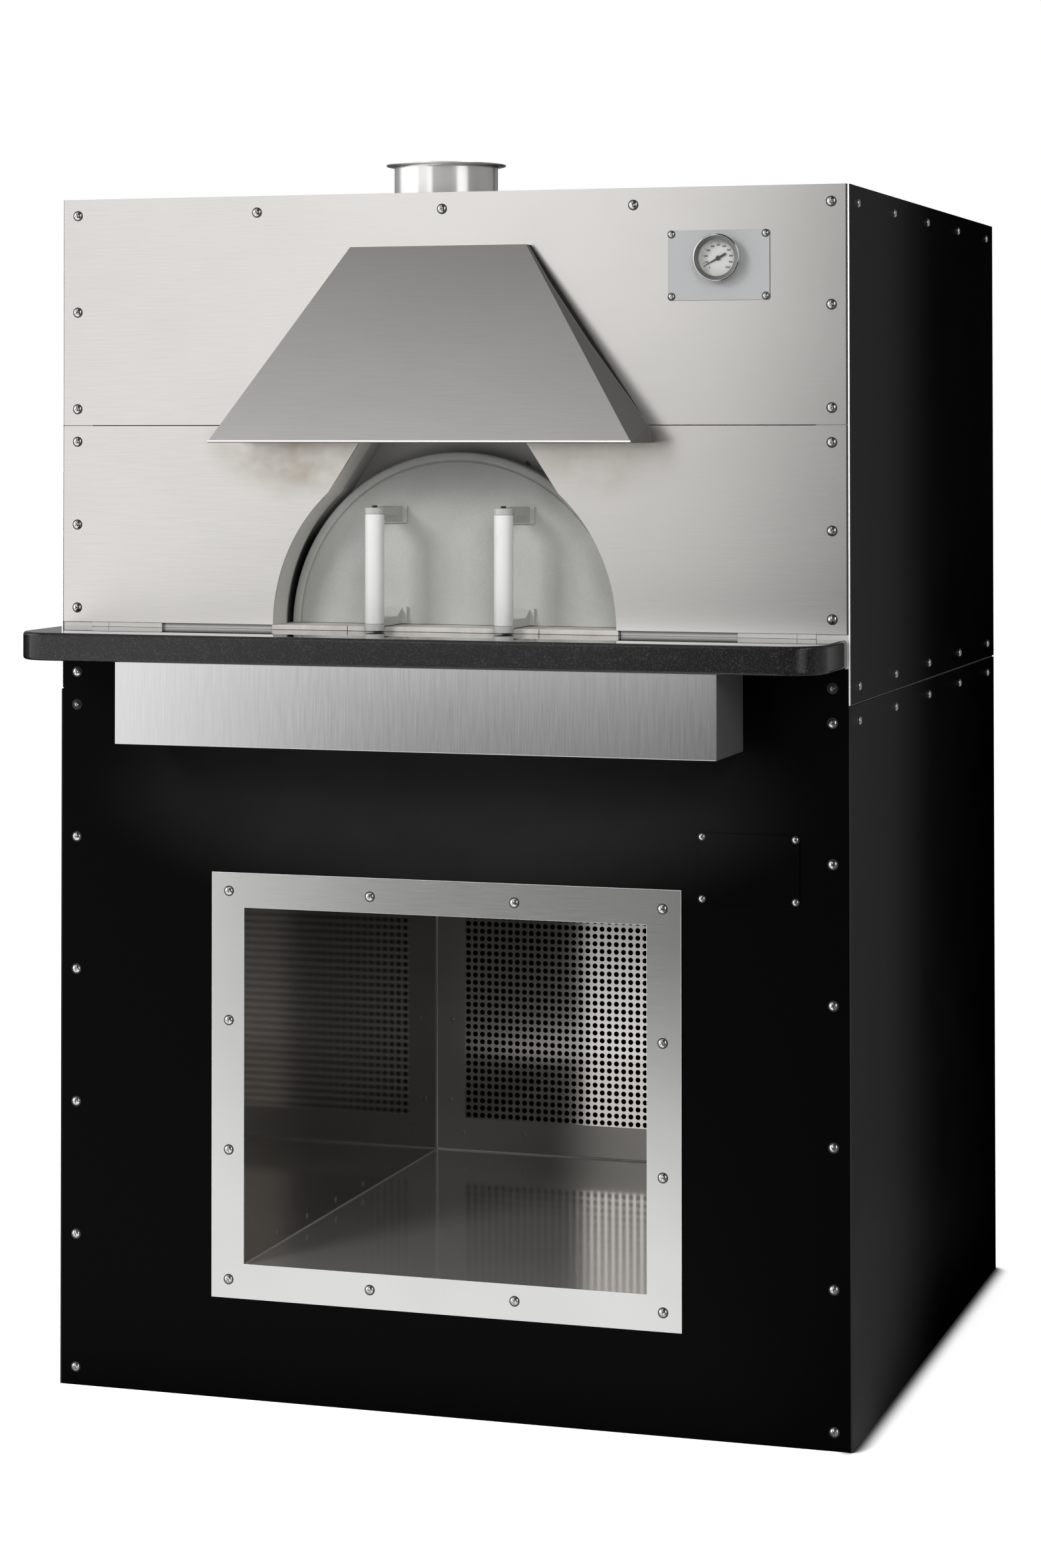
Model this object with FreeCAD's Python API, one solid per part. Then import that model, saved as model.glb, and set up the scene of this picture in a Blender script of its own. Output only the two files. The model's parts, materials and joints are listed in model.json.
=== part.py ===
import FreeCAD, Part
import math
import os

# Wood-fired oven on a cabinet base with an open wood store. Millimetres, +X right, +Y back, +Z up.
# Everything is laid out with y = 0 on the front face of the body and moved to the part's origin on export.

# Body
body_width = 1040.0
body_depth = 985.0
body_height = 1525.0
module_height = 631.0
seam_gap = 2.0
panel_sheet = 2.0
fit_gap = 0.5

# Welded frames of square tube
tube_size = 40.0
tube_wall = 3.0
top_bar_thick = 5.0
hearth_rail_setback = 210.0
store_bearer_half = 200.0

# Hearth, mantle and threshold
floor_pan_sheet = 3.0
hearth_gap = 1.0
bearer_thick = 5.0
mantle_thick = 35.0
mantle_projection = 150.0
mantle_overhang = 1.5
mantle_corner = 50.0
mantle_edge = 3.0
mantle_post_gap = 4.0
support_inset = 133.0
support_height = 103.0
support_projection = 130.0
support_flange = 20.0
sill_height = 6.0
sill_setback = 1.0
sill_joint_half = 126.5
sill_joint = 0.8
shim_post_gap = 24.0
shim_width = 74.0
shim_depth = 20.0
shim_joint = 0.3
strip_setback = 7.0

# Mouth, vestibule and throat
opening_radius = 226.5
kink_half = 152.0
throat_top_half = 52.0
throat_height = 320.0
vestibule_depth = 87.5
reveal_sheet = 2.0
mouth_plate_thick = 3.0
mouth_plate_flange = 15.0
mouth_wall = 50.0

# Dome
dome_wall = 50.0
dome_sides = 16
dome_rises_deg = (0.0, 28.0, 56.0)
blanket_thick = 35.0
blanket_gap = 6.0
mortar = 0.3

# Front panels and hood
lower_panel_height = 253.0
hood_top_half = 116.0
hood_top_depth = 18.0
hood_top_drop = 68.0
hood_bottom_half = 275.0
hood_depth = 102.5
hood_drop = 21.5
hood_sheet = 2.0
hood_lip = 12.0

# Flue
flue_x = -21.5
flue_setback = 80.0
flue_bore_radius = 64.0
flue_wall = 2.0
flue_rise = 40.0
flue_flange_radius = 76.5
flue_flange_thick = 2.5
flue_roof_gap = 0.5
duct_sheet = 2.0
duct_head = 35.0

# Wood store
store_inset = 254.0
store_floor_z = 170.0
store_drop = 272.0
store_depth = 753.0
store_sheet = 2.0
store_flange = 36.0
trim_width = 44.0
trim_reveal = 1.0
trim_sheet = 2.0
trim_screw_inset = 23.5

# Access plate
access_inset = 126.2
access_rise = 71.5
access_width = 126.5
access_height = 85.0
access_sheet = 2.0
access_hole_margin = 14.0
plate_corner = 2.0

# Button-head screws, faceted to keep the face count low
screw_head_d = 11.1
screw_head_h = 3.2
screw_d = 6.35
screw_length = 10.0
small_head_d = 8.0
small_head_h = 2.4
small_screw_d = 4.0
small_screw_length = 8.0
screw_clearance = 0.6
head_sides = 8
shank_sides = 4
small_round_sides = 12
eye_sides = 16
grip_sides = 24
dial_sides = 40
flue_sides = 48
mouth_sides = 36
row_inset = 21.0
column_inset = 22.0
side_screw_inset = 52.5
base_row_bottom = 23.0
lower_row_bottom = 18.0
plate_screw_inset = 4.8

# Thermometer
gauge_inset = 161.6
gauge_drop = 88.2
gauge_plate_width = 128.3
gauge_plate_height = 86.0
gauge_plate_thick = 2.5
gauge_plate_shift_x = -0.8
gauge_plate_shift_z = -8.3
case_radius = 27.0
case_depth = 12.0
case_wall = 1.5
bezel_radius = 29.5
bezel_lip = 7.0
bezel_depth = 3.0
glass_thick = 1.5
dial_thick = 1.0
stem_radius = 4.0
stem_length = 45.0
stem_nut_width = 16.0
stem_nut_sides = 6
stem_nut_height = 6.0
spindle_radius = 1.0
spindle_length = 14.0
spindle_clearance = 0.4
pointer_rest_deg = 208.5
pointer_tip = 20.5
pointer_tail = 11.0
pointer_tip_half = 0.35
pointer_tail_half = 1.6
pointer_thick = 0.8
pointer_hub_radius = 3.0
pointer_lift = 1.2

# Door
door_gap = 2.0
door_drop = 5.7
door_lap = 23.0
door_thick = 25.0
door_seat_gap = 0.3
door_lift = 0.5
door_rim = 10.5
door_recess = 3.0
handle_half = 85.0
handle_reach = 78.0
handle_rise = 2.0
grip_radius = 12.25
grip_length = 138.0
eye_radius = 12.5
eye_thick = 8.0
arm_width = 22.0
arm_thick = 10.0
arm_gap = 0.7
arm_clearance = 1.0
web_run = 18.0
pad_width = 34.0
pad_height = 21.0
pad_thick = 5.0
rod_radius = 2.5
rod_clearance = 0.2
rod_head_radius = 3.5
rod_head_h = 2.6

# Heights and planes that follow from the sizes above
half_outer = body_width / 2
half_inner = half_outer - panel_sheet
post_inner = half_inner - tube_size
rear_inner = body_depth - panel_sheet
rear_rail_y = rear_inner - tube_size
front_rail_back = panel_sheet + tube_size
roof_z = body_height - panel_sheet
side_seam_z = body_height - module_height
base_rail_z = side_seam_z - tube_size
module_post_z = side_seam_z + tube_size
pan_top_z = side_seam_z + floor_pan_sheet
mantle_bottom_z = module_post_z + bearer_thick
mantle_top_z = mantle_bottom_z + mantle_thick
hearth_z = mantle_top_z + sill_height
front_seam_z = hearth_z + lower_panel_height
throat_top_z = hearth_z + throat_height
mouth_plate_back = vestibule_depth + mouth_plate_thick
hearth_back = rear_rail_y - hearth_gap
support_half = half_outer - support_inset
shim_outer = post_inner - shim_post_gap
shim_inner = shim_outer - shim_width
hood_rise = body_height - front_seam_z - hood_top_drop
store_half = half_outer - store_inset
store_ceiling_z = side_seam_z - store_drop
store_back = panel_sheet + store_depth
store_rail_z = store_floor_z - store_sheet - tube_size
front_half = half_inner - fit_gap
access_x = half_outer - access_inset
access_z = store_ceiling_z + access_rise
gauge_x = half_outer - gauge_inset
gauge_z = body_height - gauge_drop

dome_centre_y = (mouth_plate_back + rear_inner) / 2
dome_room = min(half_inner, roof_z - tube_size - hearth_z, rear_inner - dome_centre_y)
blanket_radius = dome_room - blanket_gap
dome_radius = blanket_radius - blanket_thick
chamber_radius = dome_radius - dome_wall

door_radius = opening_radius - door_gap
mouth_radius = door_radius - door_lap
door_back = vestibule_depth - door_seat_gap
door_front = door_back - door_thick
door_field = door_front + door_recess
door_bottom_z = hearth_z + door_lift
grip_y = door_field - handle_reach
eye_bottom_z = mantle_top_z + handle_rise
grip_bottom_z = eye_bottom_z + eye_thick
grip_top_z = grip_bottom_z + grip_length
eye_top_z = grip_top_z + eye_thick

rear_reach = body_depth + screw_head_h
origin_shift = -(rear_reach - mantle_projection) / 2

X_AXIS = FreeCAD.Vector(1, 0, 0)
Y_AXIS = FreeCAD.Vector(0, 1, 0)
Z_AXIS = FreeCAD.Vector(0, 0, 1)


def point(x, y, z):
    return FreeCAD.Vector(x, y, z)


def box(x0, x1, y0, y1, z0, z1):
    """Block between two corners."""
    return Part.makeBox(x1 - x0, y1 - y0, z1 - z0, point(x0, y0, z0))


def mirrored(shape):
    """The same piece on the other side of the oven's middle plane."""
    return shape.mirror(point(0, 0, 0), X_AXIS)


def cylinder(centre, axis, radius, length):
    return Part.makeCylinder(radius, length, centre, axis)


def closed_face(points):
    return Part.Face(Part.makePolygon(points + [points[0]]))


def polyhedron(faces):
    """Solid from flat faces, each a list of corner points."""
    shell = Part.makeShell([closed_face(corners) for corners in faces])
    shell.sewShape()
    solid = Part.makeSolid(shell)
    if solid.Volume < 0:
        solid.reverse()
    return solid


def square_tube(corner, length, axis):
    """Hollow square tube from its low corner, running along x, y or z."""
    outer = [length if name == axis else tube_size for name in "xyz"]
    inner = [length if name == axis else tube_size - 2 * tube_wall for name in "xyz"]
    shift = [0 if name == axis else tube_wall for name in "xyz"]
    bore = Part.makeBox(*inner, corner + FreeCAD.Vector(*shift))
    return Part.makeBox(*outer, corner).cut(bore)


def facet_bar(start, axis, radius, length, sides=small_round_sides):
    """Small round bar drawn as a regular polygon, with its corners on the radius."""
    first = X_AXIS if axis == Z_AXIS else Z_AXIS
    second = axis.cross(first)
    corners = []
    for step in range(sides):
        turn = 2 * math.pi * (step + 0.5) / sides
        corners.append(start + (first * math.cos(turn) + second * math.sin(turn)) * radius)
    return closed_face(corners).extrude(axis * length)


def steps(first, last, count):
    """Evenly spaced places, ends included."""
    return [first + (last - first) * index / (count - 1) for index in range(count)]


# Screw places. Each entry holds the seat of the head and the way the screw points.
column_x = half_outer - column_inset
top_row_z = body_height - row_inset
upper_rows = steps(top_row_z, front_seam_z + row_inset, 3)
lower_rows = steps(front_seam_z - row_inset, hearth_z + lower_row_bottom, 3)
base_rows = steps(side_seam_z - row_inset, base_row_bottom, 6) + [side_seam_z + row_inset]
rear_rows = [top_row_z, side_seam_z + row_inset, side_seam_z - row_inset, base_row_bottom]
side_columns = steps(side_screw_inset, body_depth - side_screw_inset, 5)
side_rows = [top_row_z, side_seam_z + row_inset, side_seam_z - row_inset]

trim_inner_half = store_half - trim_reveal
trim_outer_half = trim_inner_half + trim_width
trim_low_z = store_floor_z + trim_reveal - trim_width
trim_high_z = store_ceiling_z - trim_reveal + trim_width
trim_columns = steps(-trim_outer_half + trim_screw_inset, trim_outer_half - trim_screw_inset, 4)
trim_rows = steps(trim_low_z + trim_screw_inset, trim_high_z - trim_screw_inset, 4)

gauge_plate_x = gauge_x + gauge_plate_shift_x
gauge_plate_z = gauge_z + gauge_plate_shift_z


def corner_seats(x, z, width, height, inset, y):
    """Seats at the four corners of a plate."""
    half_w = width / 2 - inset
    half_h = height / 2 - inset
    return [(point(x + i * half_w, y, z + j * half_h), Y_AXIS) for i in (-1, 1) for j in (-1, 1)]


front_seats = [(point(x, 0, top_row_z), Y_AXIS) for x in steps(-column_x, column_x, 5)]
front_rows = upper_rows[1:] + lower_rows
front_seats += [(point(side * column_x, 0, z), Y_AXIS) for side in (-1, 1) for z in front_rows]
base_seats = [(point(side * column_x, 0, z), Y_AXIS) for side in (-1, 1) for z in base_rows]
trim_seats = []
for column in trim_columns:
    for row in trim_rows:
        if column in (trim_columns[0], trim_columns[-1]) or row in (trim_rows[0], trim_rows[-1]):
            trim_seats.append((point(column, -trim_sheet, row), Y_AXIS))
side_seats = [(point(-side * half_outer, y, z), X_AXIS * side)
              for side in (-1, 1) for z in side_rows for y in side_columns]
rear_seats = [(point(side * column_x, body_depth, z), -Y_AXIS) for side in (-1, 1) for z in rear_rows]
plate_seats = corner_seats(access_x, access_z, access_width, access_height, plate_screw_inset, -access_sheet)
plate_seats += corner_seats(gauge_plate_x, gauge_plate_z, gauge_plate_width, gauge_plate_height,
                            plate_screw_inset, -gauge_plate_thick)

LARGE = (screw_head_d, screw_head_h, screw_d, screw_length)
SMALL = (small_head_d, small_head_h, small_screw_d, small_screw_length)


def screw(seat, inward, size):
    """Head on its seat with the shank behind it."""
    head_d, head_h, shank_d, length = size
    head = facet_bar(seat - inward * head_h, inward, head_d / 2, head_h, head_sides)
    return head.fuse(facet_bar(seat, inward, shank_d / 2, length, shank_sides))


def screw_group(seats, size):
    return Part.makeCompound([screw(seat, inward, size) for seat, inward in seats])


def clearance_holes(seats, size):
    """Bars that drill the screw holes, a little wider and longer than the shanks."""
    shank_d, length = size[2:]
    return [facet_bar(seat - inward * screw_clearance, inward, shank_d / 2 + screw_clearance,
                      length + 2 * screw_clearance, shank_sides) for seat, inward in seats]


all_holes = clearance_holes(front_seats + base_seats + trim_seats + side_seats + rear_seats, LARGE)
all_holes += clearance_holes(plate_seats, SMALL)


def drilled(shape):
    """The shape with a hole wherever a screw passes through it."""
    bound = shape.BoundBox
    hits = [hole for hole in all_holes if bound.intersect(hole.BoundBox)]
    return shape.cut(Part.makeCompound(hits)) if hits else shape


# Frames
def rail_ring(z):
    """Four tubes round the body at one height."""
    sides = [square_tube(point(x, front_rail_back, z), rear_rail_y - front_rail_back, "y")
             for x in (-half_inner, post_inner)]
    ends = [square_tube(point(-half_inner, y, z), 2 * half_inner, "x") for y in (panel_sheet, rear_rail_y)]
    return sides + ends


def corner_posts(z0, z1):
    return [square_tube(point(x, y, z0), z1 - z0, "z")
            for x in (-half_inner, post_inner) for y in (panel_sheet, rear_rail_y)]


def base_frame():
    """Posts, upper rails, hearth cross rails and the bearers of the wood store."""
    tubes = corner_posts(tube_size, base_rail_z) + rail_ring(base_rail_z)
    for y in (front_rail_back + hearth_rail_setback, rear_rail_y - hearth_rail_setback - tube_size):
        tubes.append(square_tube(point(-post_inner, y, base_rail_z), 2 * post_inner, "x"))
    front_y = panel_sheet + store_sheet
    for y in (front_y, rear_rail_y):
        tubes.append(square_tube(point(-post_inner, y, store_rail_z), 2 * post_inner, "x"))
    run = rear_rail_y - front_y - tube_size
    for x in (-store_bearer_half, store_bearer_half - tube_size):
        tubes.append(square_tube(point(x, front_y + tube_size, store_rail_z), run, "y"))
    return Part.makeCompound(tubes)


def module_frame():
    """Rails and posts of the oven module, with a flat bar behind the top of the front panel."""
    top_rail_z = roof_z - tube_size
    tubes = rail_ring(side_seam_z) + corner_posts(module_post_z, roof_z)
    for x in (-half_inner, post_inner):
        tubes.append(square_tube(point(x, front_rail_back, top_rail_z), rear_rail_y - front_rail_back, "y"))
    tubes.append(square_tube(point(-post_inner, rear_rail_y, top_rail_z), 2 * post_inner, "x"))
    tubes.append(box(-post_inner, post_inner, panel_sheet, panel_sheet + top_bar_thick, top_rail_z, roof_z))
    return Part.makeCompound(tubes)


# Hearth and mantle
def hearth_tiles():
    """Four tiles with a fine joint between them."""
    half = post_inner - hearth_gap
    middle = (vestibule_depth + hearth_back) / 2
    joint = sill_joint / 2
    right = [box(joint, half, vestibule_depth + joint, middle - joint, mantle_bottom_z, hearth_z),
             box(joint, half, middle + joint, hearth_back, mantle_bottom_z, hearth_z)]
    return Part.makeCompound(right + [mirrored(tile) for tile in right])


def mantle_slab():
    """Stone shelf: rounded front corners, eased edges and a tongue that runs in under the front panels."""
    half = half_outer + mantle_overhang
    front = -mantle_projection
    back = -sill_setback
    bend = mantle_corner * (1 - math.sqrt(0.5))
    right_arc = Part.Arc(point(half - mantle_corner, front, 0), point(half - bend, front + bend, 0),
                         point(half, front + mantle_corner, 0))
    left_arc = Part.Arc(point(-half, front + mantle_corner, 0), point(bend - half, front + bend, 0),
                        point(mantle_corner - half, front, 0))
    edges = [Part.makeLine(point(mantle_corner - half, front, 0), point(half - mantle_corner, front, 0)),
             right_arc.toShape(),
             Part.makeLine(point(half, front + mantle_corner, 0), point(half, back, 0)),
             Part.makeLine(point(half, back, 0), point(-half, back, 0)),
             Part.makeLine(point(-half, back, 0), point(-half, front + mantle_corner, 0)),
             left_arc.toShape()]
    shelf = Part.Face(Part.Wire(edges)).extrude(Z_AXIS * mantle_thick)
    level_edges = [edge for edge in shelf.Edges if edge.BoundBox.ZLength < fit_gap]
    eased = [edge for edge in level_edges if edge.BoundBox.YMin < back - fit_gap]
    shelf = shelf.makeChamfer(mantle_edge, eased)
    shelf.translate(Z_AXIS * mantle_bottom_z)
    tongue_half = post_inner - mantle_post_gap
    tongue = box(-tongue_half, tongue_half, back, vestibule_depth, mantle_bottom_z, mantle_top_z)
    return shelf.fuse(tongue).removeSplitter()


def mantle_support():
    """Folded box under the mantle, open above, with flanges against the base panel."""
    low_z = mantle_bottom_z - support_height
    sheet = panel_sheet
    tray = box(-support_half, support_half, -support_projection, 0, low_z, mantle_bottom_z)
    tray = tray.cut(box(sheet - support_half, support_half - sheet, sheet - support_projection, -sheet,
                        low_z + sheet, mantle_bottom_z))
    window = support_half - support_flange
    return tray.cut(box(-window, window, -sheet, 0, low_z + support_flange, mantle_bottom_z))


def threshold_tiles():
    """Three thin tiles that lead from the mantle to the hearth."""
    end = opening_radius + reveal_sheet + sill_joint
    joints = [-end, -sill_joint_half, sill_joint_half, end]
    tiles = []
    for left, right in zip(joints, joints[1:]):
        tiles.append(box(left + sill_joint / 2, right - sill_joint / 2, sill_setback, vestibule_depth,
                         mantle_top_z, hearth_z))
    return Part.makeCompound(tiles)


def panel_shims():
    """Packing strips under the lower front panels: two flush with the posts and one set back beside the mouth."""
    mouth_end = opening_radius + reveal_sheet + 2 * sill_joint
    spans = [(mouth_end, shim_inner - shim_joint, strip_setback),
             (shim_inner, shim_outer, sill_setback),
             (shim_outer + shim_joint, post_inner - shim_joint, sill_setback)]
    right = [box(x0, x1, front, front + shim_depth, mantle_top_z, hearth_z) for x0, x1, front in spans]
    return Part.makeCompound(right + [mirrored(strip) for strip in right])


# Mouth and vestibule
def opening_prism(offset, y0, y1):
    """The mouth's front outline, widened by offset: an arch whose crown is drawn up into a throat."""
    radius = opening_radius + offset
    kink_rise = math.sqrt(opening_radius ** 2 - kink_half ** 2)
    run_x = throat_top_half - kink_half
    run_z = throat_height - kink_rise
    run = math.hypot(run_x, run_z)
    way_x = run_x / run
    way_z = run_z / run
    start_x = kink_half + offset * way_z
    start_z = kink_rise - offset * way_x
    along = start_x * way_x + start_z * way_z
    gap = start_x ** 2 + start_z ** 2 - radius ** 2
    travel = -along + math.sqrt(along ** 2 - gap)
    kink_x = start_x + travel * way_x
    kink_z = start_z + travel * way_z
    top_x = start_x + (throat_height - start_z) / way_z * way_x
    turn = math.atan2(kink_z, kink_x) / 2
    mid_x = radius * math.cos(turn)
    mid_z = hearth_z + radius * math.sin(turn)
    kink_z += hearth_z
    foot, bend, kink, top = [[point(side * x, y0, z) for side in (-1, 1)] for x, z in (
        (radius, hearth_z), (mid_x, mid_z), (kink_x, kink_z), (top_x, throat_top_z))]
    edges = [Part.makeLine(foot[0], foot[1]),
             Part.Arc(foot[1], bend[1], kink[1]).toShape(),
             Part.makeLine(kink[1], top[1]),
             Part.makeLine(top[1], top[0]),
             Part.makeLine(top[0], kink[0]),
             Part.Arc(kink[0], bend[0], foot[0]).toShape()]
    return Part.Face(Part.Wire(edges)).extrude(Y_AXIS * (y1 - y0))


def right_reveal():
    """Bent wall from the front panel back to the mouth plate."""
    wall = opening_prism(reveal_sheet, panel_sheet, vestibule_depth)
    wall = wall.cut(opening_prism(0, panel_sheet, vestibule_depth))
    half = box(0, half_inner, 0, vestibule_depth, hearth_z, throat_top_z)
    return wall.common(half)


def mouth_plate():
    """Plate that closes the vestibule round the mouth; the door stands against it."""
    plate = opening_prism(reveal_sheet + mouth_plate_flange, vestibule_depth, mouth_plate_back)
    return plate.cut(cylinder(point(0, 0, hearth_z), Y_AXIS, mouth_radius, body_depth))


def faceted_dome(radius):
    """Half dome cast in flat-sided segments, springing from the hearth."""
    rings = []
    for rise_deg in dome_rises_deg:
        level = radius * math.cos(math.radians(rise_deg))
        z = hearth_z + radius * math.sin(math.radians(rise_deg))
        turns = [2 * math.pi * (step + 0.5) / dome_sides for step in range(dome_sides)]
        spots = [(level * math.sin(turn), dome_centre_y + level * math.cos(turn)) for turn in turns]
        rings.append([point(x, y, z) for x, y in spots])
    faces = [rings[0], rings[-1]]
    for low, high in zip(rings, rings[1:]):
        for step in range(dome_sides):
            after = (step + 1) % dome_sides
            faces.append([low[step], low[after], high[after], high[step]])
    return polyhedron(faces)


def mouth_bar(radius):
    """Round bar from the front to the middle of the chamber."""
    start = point(0, mouth_plate_back, hearth_z)
    return facet_bar(start, Y_AXIS, radius, dome_centre_y - mouth_plate_back, mouth_sides)


def above_hearth():
    return box(-half_outer, half_outer, 0, body_depth, hearth_z, body_height)


def dome():
    shell = faceted_dome(dome_radius).cut(faceted_dome(chamber_radius))
    return shell.cut(mouth_bar(mouth_radius))


def mouth_arch():
    """Arched passage from the mouth plate to the dome."""
    arch = mouth_bar(mouth_radius + mouth_wall).cut(mouth_bar(mouth_radius)).common(above_hearth())
    return arch.cut(faceted_dome(dome_radius + mortar))


def dome_blanket():
    blanket = faceted_dome(blanket_radius).cut(faceted_dome(dome_radius + mortar))
    return blanket.cut(mouth_bar(mouth_radius + mouth_wall + mortar))


# Outer panels
def flue_bar(z, radius, length):
    """Bar on the flue's axis, many-sided."""
    return facet_bar(point(flue_x, flue_setback, z), Z_AXIS, radius, length, flue_sides)


def right_lower_front():
    """Stainless sheet beside the mouth, between the mantle and the seam."""
    panel = box(0, front_half, 0, panel_sheet, hearth_z, front_seam_z - fit_gap)
    return drilled(panel.cut(opening_prism(0, 0, panel_sheet)))


def upper_front():
    """Stainless sheet above the seam, notched for the throat and bored for the gauge stem."""
    panel = box(-front_half, front_half, 0, panel_sheet, front_seam_z + fit_gap, body_height)
    panel = panel.cut(opening_prism(0, 0, panel_sheet))
    hole = facet_bar(point(gauge_x, 0, gauge_z), Y_AXIS, stem_radius + screw_clearance, panel_sheet)
    return drilled(panel.cut(hole))


def base_front():
    """Black sheet of the base with the openings of the wood store and of the access plate."""
    panel = box(-front_half, front_half, 0, panel_sheet, 0, mantle_bottom_z - fit_gap)
    panel = panel.cut(box(-store_half, store_half, 0, panel_sheet, store_floor_z, store_ceiling_z))
    half_w = access_width / 2 - access_hole_margin
    half_h = access_height / 2 - access_hole_margin
    hole = box(access_x - half_w, access_x + half_w, 0, panel_sheet, access_z - half_h, access_z + half_h)
    return drilled(panel.cut(hole))


def right_side(z0, z1):
    return drilled(box(half_inner, half_outer, 0, body_depth, z0, z1))


def rear_panel(z0, z1):
    return drilled(box(-front_half, front_half, rear_inner, body_depth, z0, z1))


def roof():
    """Top sheet, bored for the flue collar."""
    sheet = box(-front_half, front_half, panel_sheet + fit_gap, rear_inner - fit_gap, roof_z, body_height)
    hole_radius = flue_bore_radius + flue_wall + flue_roof_gap
    return sheet.cut(flue_bar(roof_z, hole_radius, panel_sheet))


# Hood, duct and flue collar
def hood_block(inset):
    """The hood's outer form drawn in by inset: sloped front, twisted cheeks and upright lower corners."""
    top_half = hood_top_half - inset
    top_y = inset - hood_top_depth
    top_z = front_seam_z + hood_rise - inset
    low_half = hood_bottom_half - inset
    low_y = inset - hood_depth
    low_z = front_seam_z - hood_drop
    corner_z = front_seam_z - fit_gap
    faces = []
    for side in (-1, 1):
        top_rear = point(side * top_half, 0, top_z)
        top_front = point(side * top_half, top_y, top_z)
        low_front = point(side * low_half, low_y, low_z)
        low_rear = point(side * low_half, 0, low_z)
        corner = point(side * low_half, 0, corner_z)
        faces.append([top_rear, low_front, top_front])
        faces.append([top_rear, corner, low_front])
        faces.append([corner, low_rear, low_front])
    faces.append([point(-top_half, 0, top_z), point(top_half, 0, top_z),
                  point(top_half, top_y, top_z), point(-top_half, top_y, top_z)])
    faces.append([point(-top_half, top_y, top_z), point(top_half, top_y, top_z),
                  point(low_half, low_y, low_z), point(-low_half, low_y, low_z)])
    faces.append([point(-low_half, low_y, low_z), point(low_half, low_y, low_z),
                  point(low_half, 0, low_z), point(-low_half, 0, low_z)])
    faces.append([point(-top_half, 0, top_z), point(top_half, 0, top_z), point(low_half, 0, corner_z),
                  point(low_half, 0, low_z), point(-low_half, 0, low_z), point(-low_half, 0, corner_z)])
    return polyhedron(faces)


def hood():
    """Folded sheet with a return lip round its lower edge and a flange against the front panel."""
    outer = hood_block(0)
    shell = outer.cut(hood_block(hood_sheet))
    low_z = front_seam_z - hood_drop
    rear_layer = box(-half_outer, half_outer, -hood_sheet, 0, low_z, body_height)
    low_layer = box(-half_outer, half_outer, -hood_depth, -hood_sheet, low_z, low_z + hood_sheet)
    borders = outer.common(rear_layer.fuse(low_layer)).cut(hood_block(hood_lip))
    return shell.fuse(borders).removeSplitter()


def level_corners(rectangle, inset, z):
    """Corners of a level rectangle x0, x1, y0, y1, drawn in by inset."""
    x0, x1, y0, y1 = rectangle
    return [point(x0 + inset, y0 + inset, z), point(x1 - inset, y0 + inset, z),
            point(x1 - inset, y1 - inset, z), point(x0 + inset, y1 - inset, z)]


duct_top_z = roof_z - duct_head


def smoke_duct():
    """Four tapered walls from the throat up to a bored head plate under the flue collar."""
    reach = flue_bore_radius + flue_wall + duct_sheet
    low = (-throat_top_half - duct_sheet, throat_top_half + duct_sheet, panel_sheet, mouth_plate_back)
    high = (flue_x - reach, flue_x + reach, flue_setback - reach, flue_setback + reach)
    plate_z = duct_top_z - duct_sheet
    outer_low, inner_low = [level_corners(low, inset, throat_top_z) for inset in (0, duct_sheet)]
    outer_high, inner_high = [level_corners(high, inset, plate_z) for inset in (0, duct_sheet)]
    solids = []
    for a in range(4):
        b = (a + 1) % 4
        below = [outer_low[a], outer_low[b], inner_low[b], inner_low[a]]
        above = [outer_high[a], outer_high[b], inner_high[b], inner_high[a]]
        sides = [[below[i], below[(i + 1) % 4], above[(i + 1) % 4], above[i]] for i in range(4)]
        solids.append(polyhedron([below, above] + sides))
    plate = box(high[0], high[1], high[2], high[3], plate_z, duct_top_z)
    bore = cylinder(point(flue_x, flue_setback, plate_z), Z_AXIS, flue_bore_radius, duct_sheet)
    return Part.makeCompound(solids + [plate.cut(bore)])


def flue_collar():
    """Spigot through the roof with an out-turned flange."""
    top_z = body_height + flue_rise
    spigot = flue_bar(duct_top_z, flue_bore_radius + flue_wall, top_z - duct_top_z)
    flange = flue_bar(top_z - flue_flange_thick, flue_flange_radius, flue_flange_thick)
    bore = cylinder(point(flue_x, flue_setback, duct_top_z), Z_AXIS, flue_bore_radius, top_z - duct_top_z)
    return spigot.fuse(flange).removeSplitter().cut(bore)


# Wood store
def store_right_wall():
    """Side wall of the wood store with a flange turned out behind the base panel."""
    wall = box(store_half, store_half + store_sheet, panel_sheet, store_back,
               store_floor_z - store_sheet, store_ceiling_z + store_sheet)
    flange = box(store_half, store_half + store_flange, panel_sheet, panel_sheet + store_sheet,
                 store_floor_z - store_flange, store_ceiling_z + store_flange)
    return drilled(wall.fuse(flange).removeSplitter())


def store_deck(z0, flange_z0, flange_z1):
    """Floor or ceiling sheet of the wood store with its front flange."""
    deck = box(-store_half, store_half, panel_sheet, store_back, z0, z0 + store_sheet)
    flange = box(-store_half, store_half, panel_sheet, panel_sheet + store_sheet, flange_z0, flange_z1)
    return drilled(deck.fuse(flange).removeSplitter())


def store_rear():
    half = store_half + store_sheet
    return box(-half, half, store_back, store_back + store_sheet,
               store_floor_z - store_sheet, store_ceiling_z + store_sheet)


def trim_frame():
    """Flat stainless frame that covers the cut edge of the base panel."""
    frame = box(-trim_outer_half, trim_outer_half, -trim_sheet, 0, trim_low_z, trim_high_z)
    inner = box(-trim_inner_half, trim_inner_half, -trim_sheet, 0,
                trim_low_z + trim_width, trim_high_z - trim_width)
    return drilled(frame.cut(inner))


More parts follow.
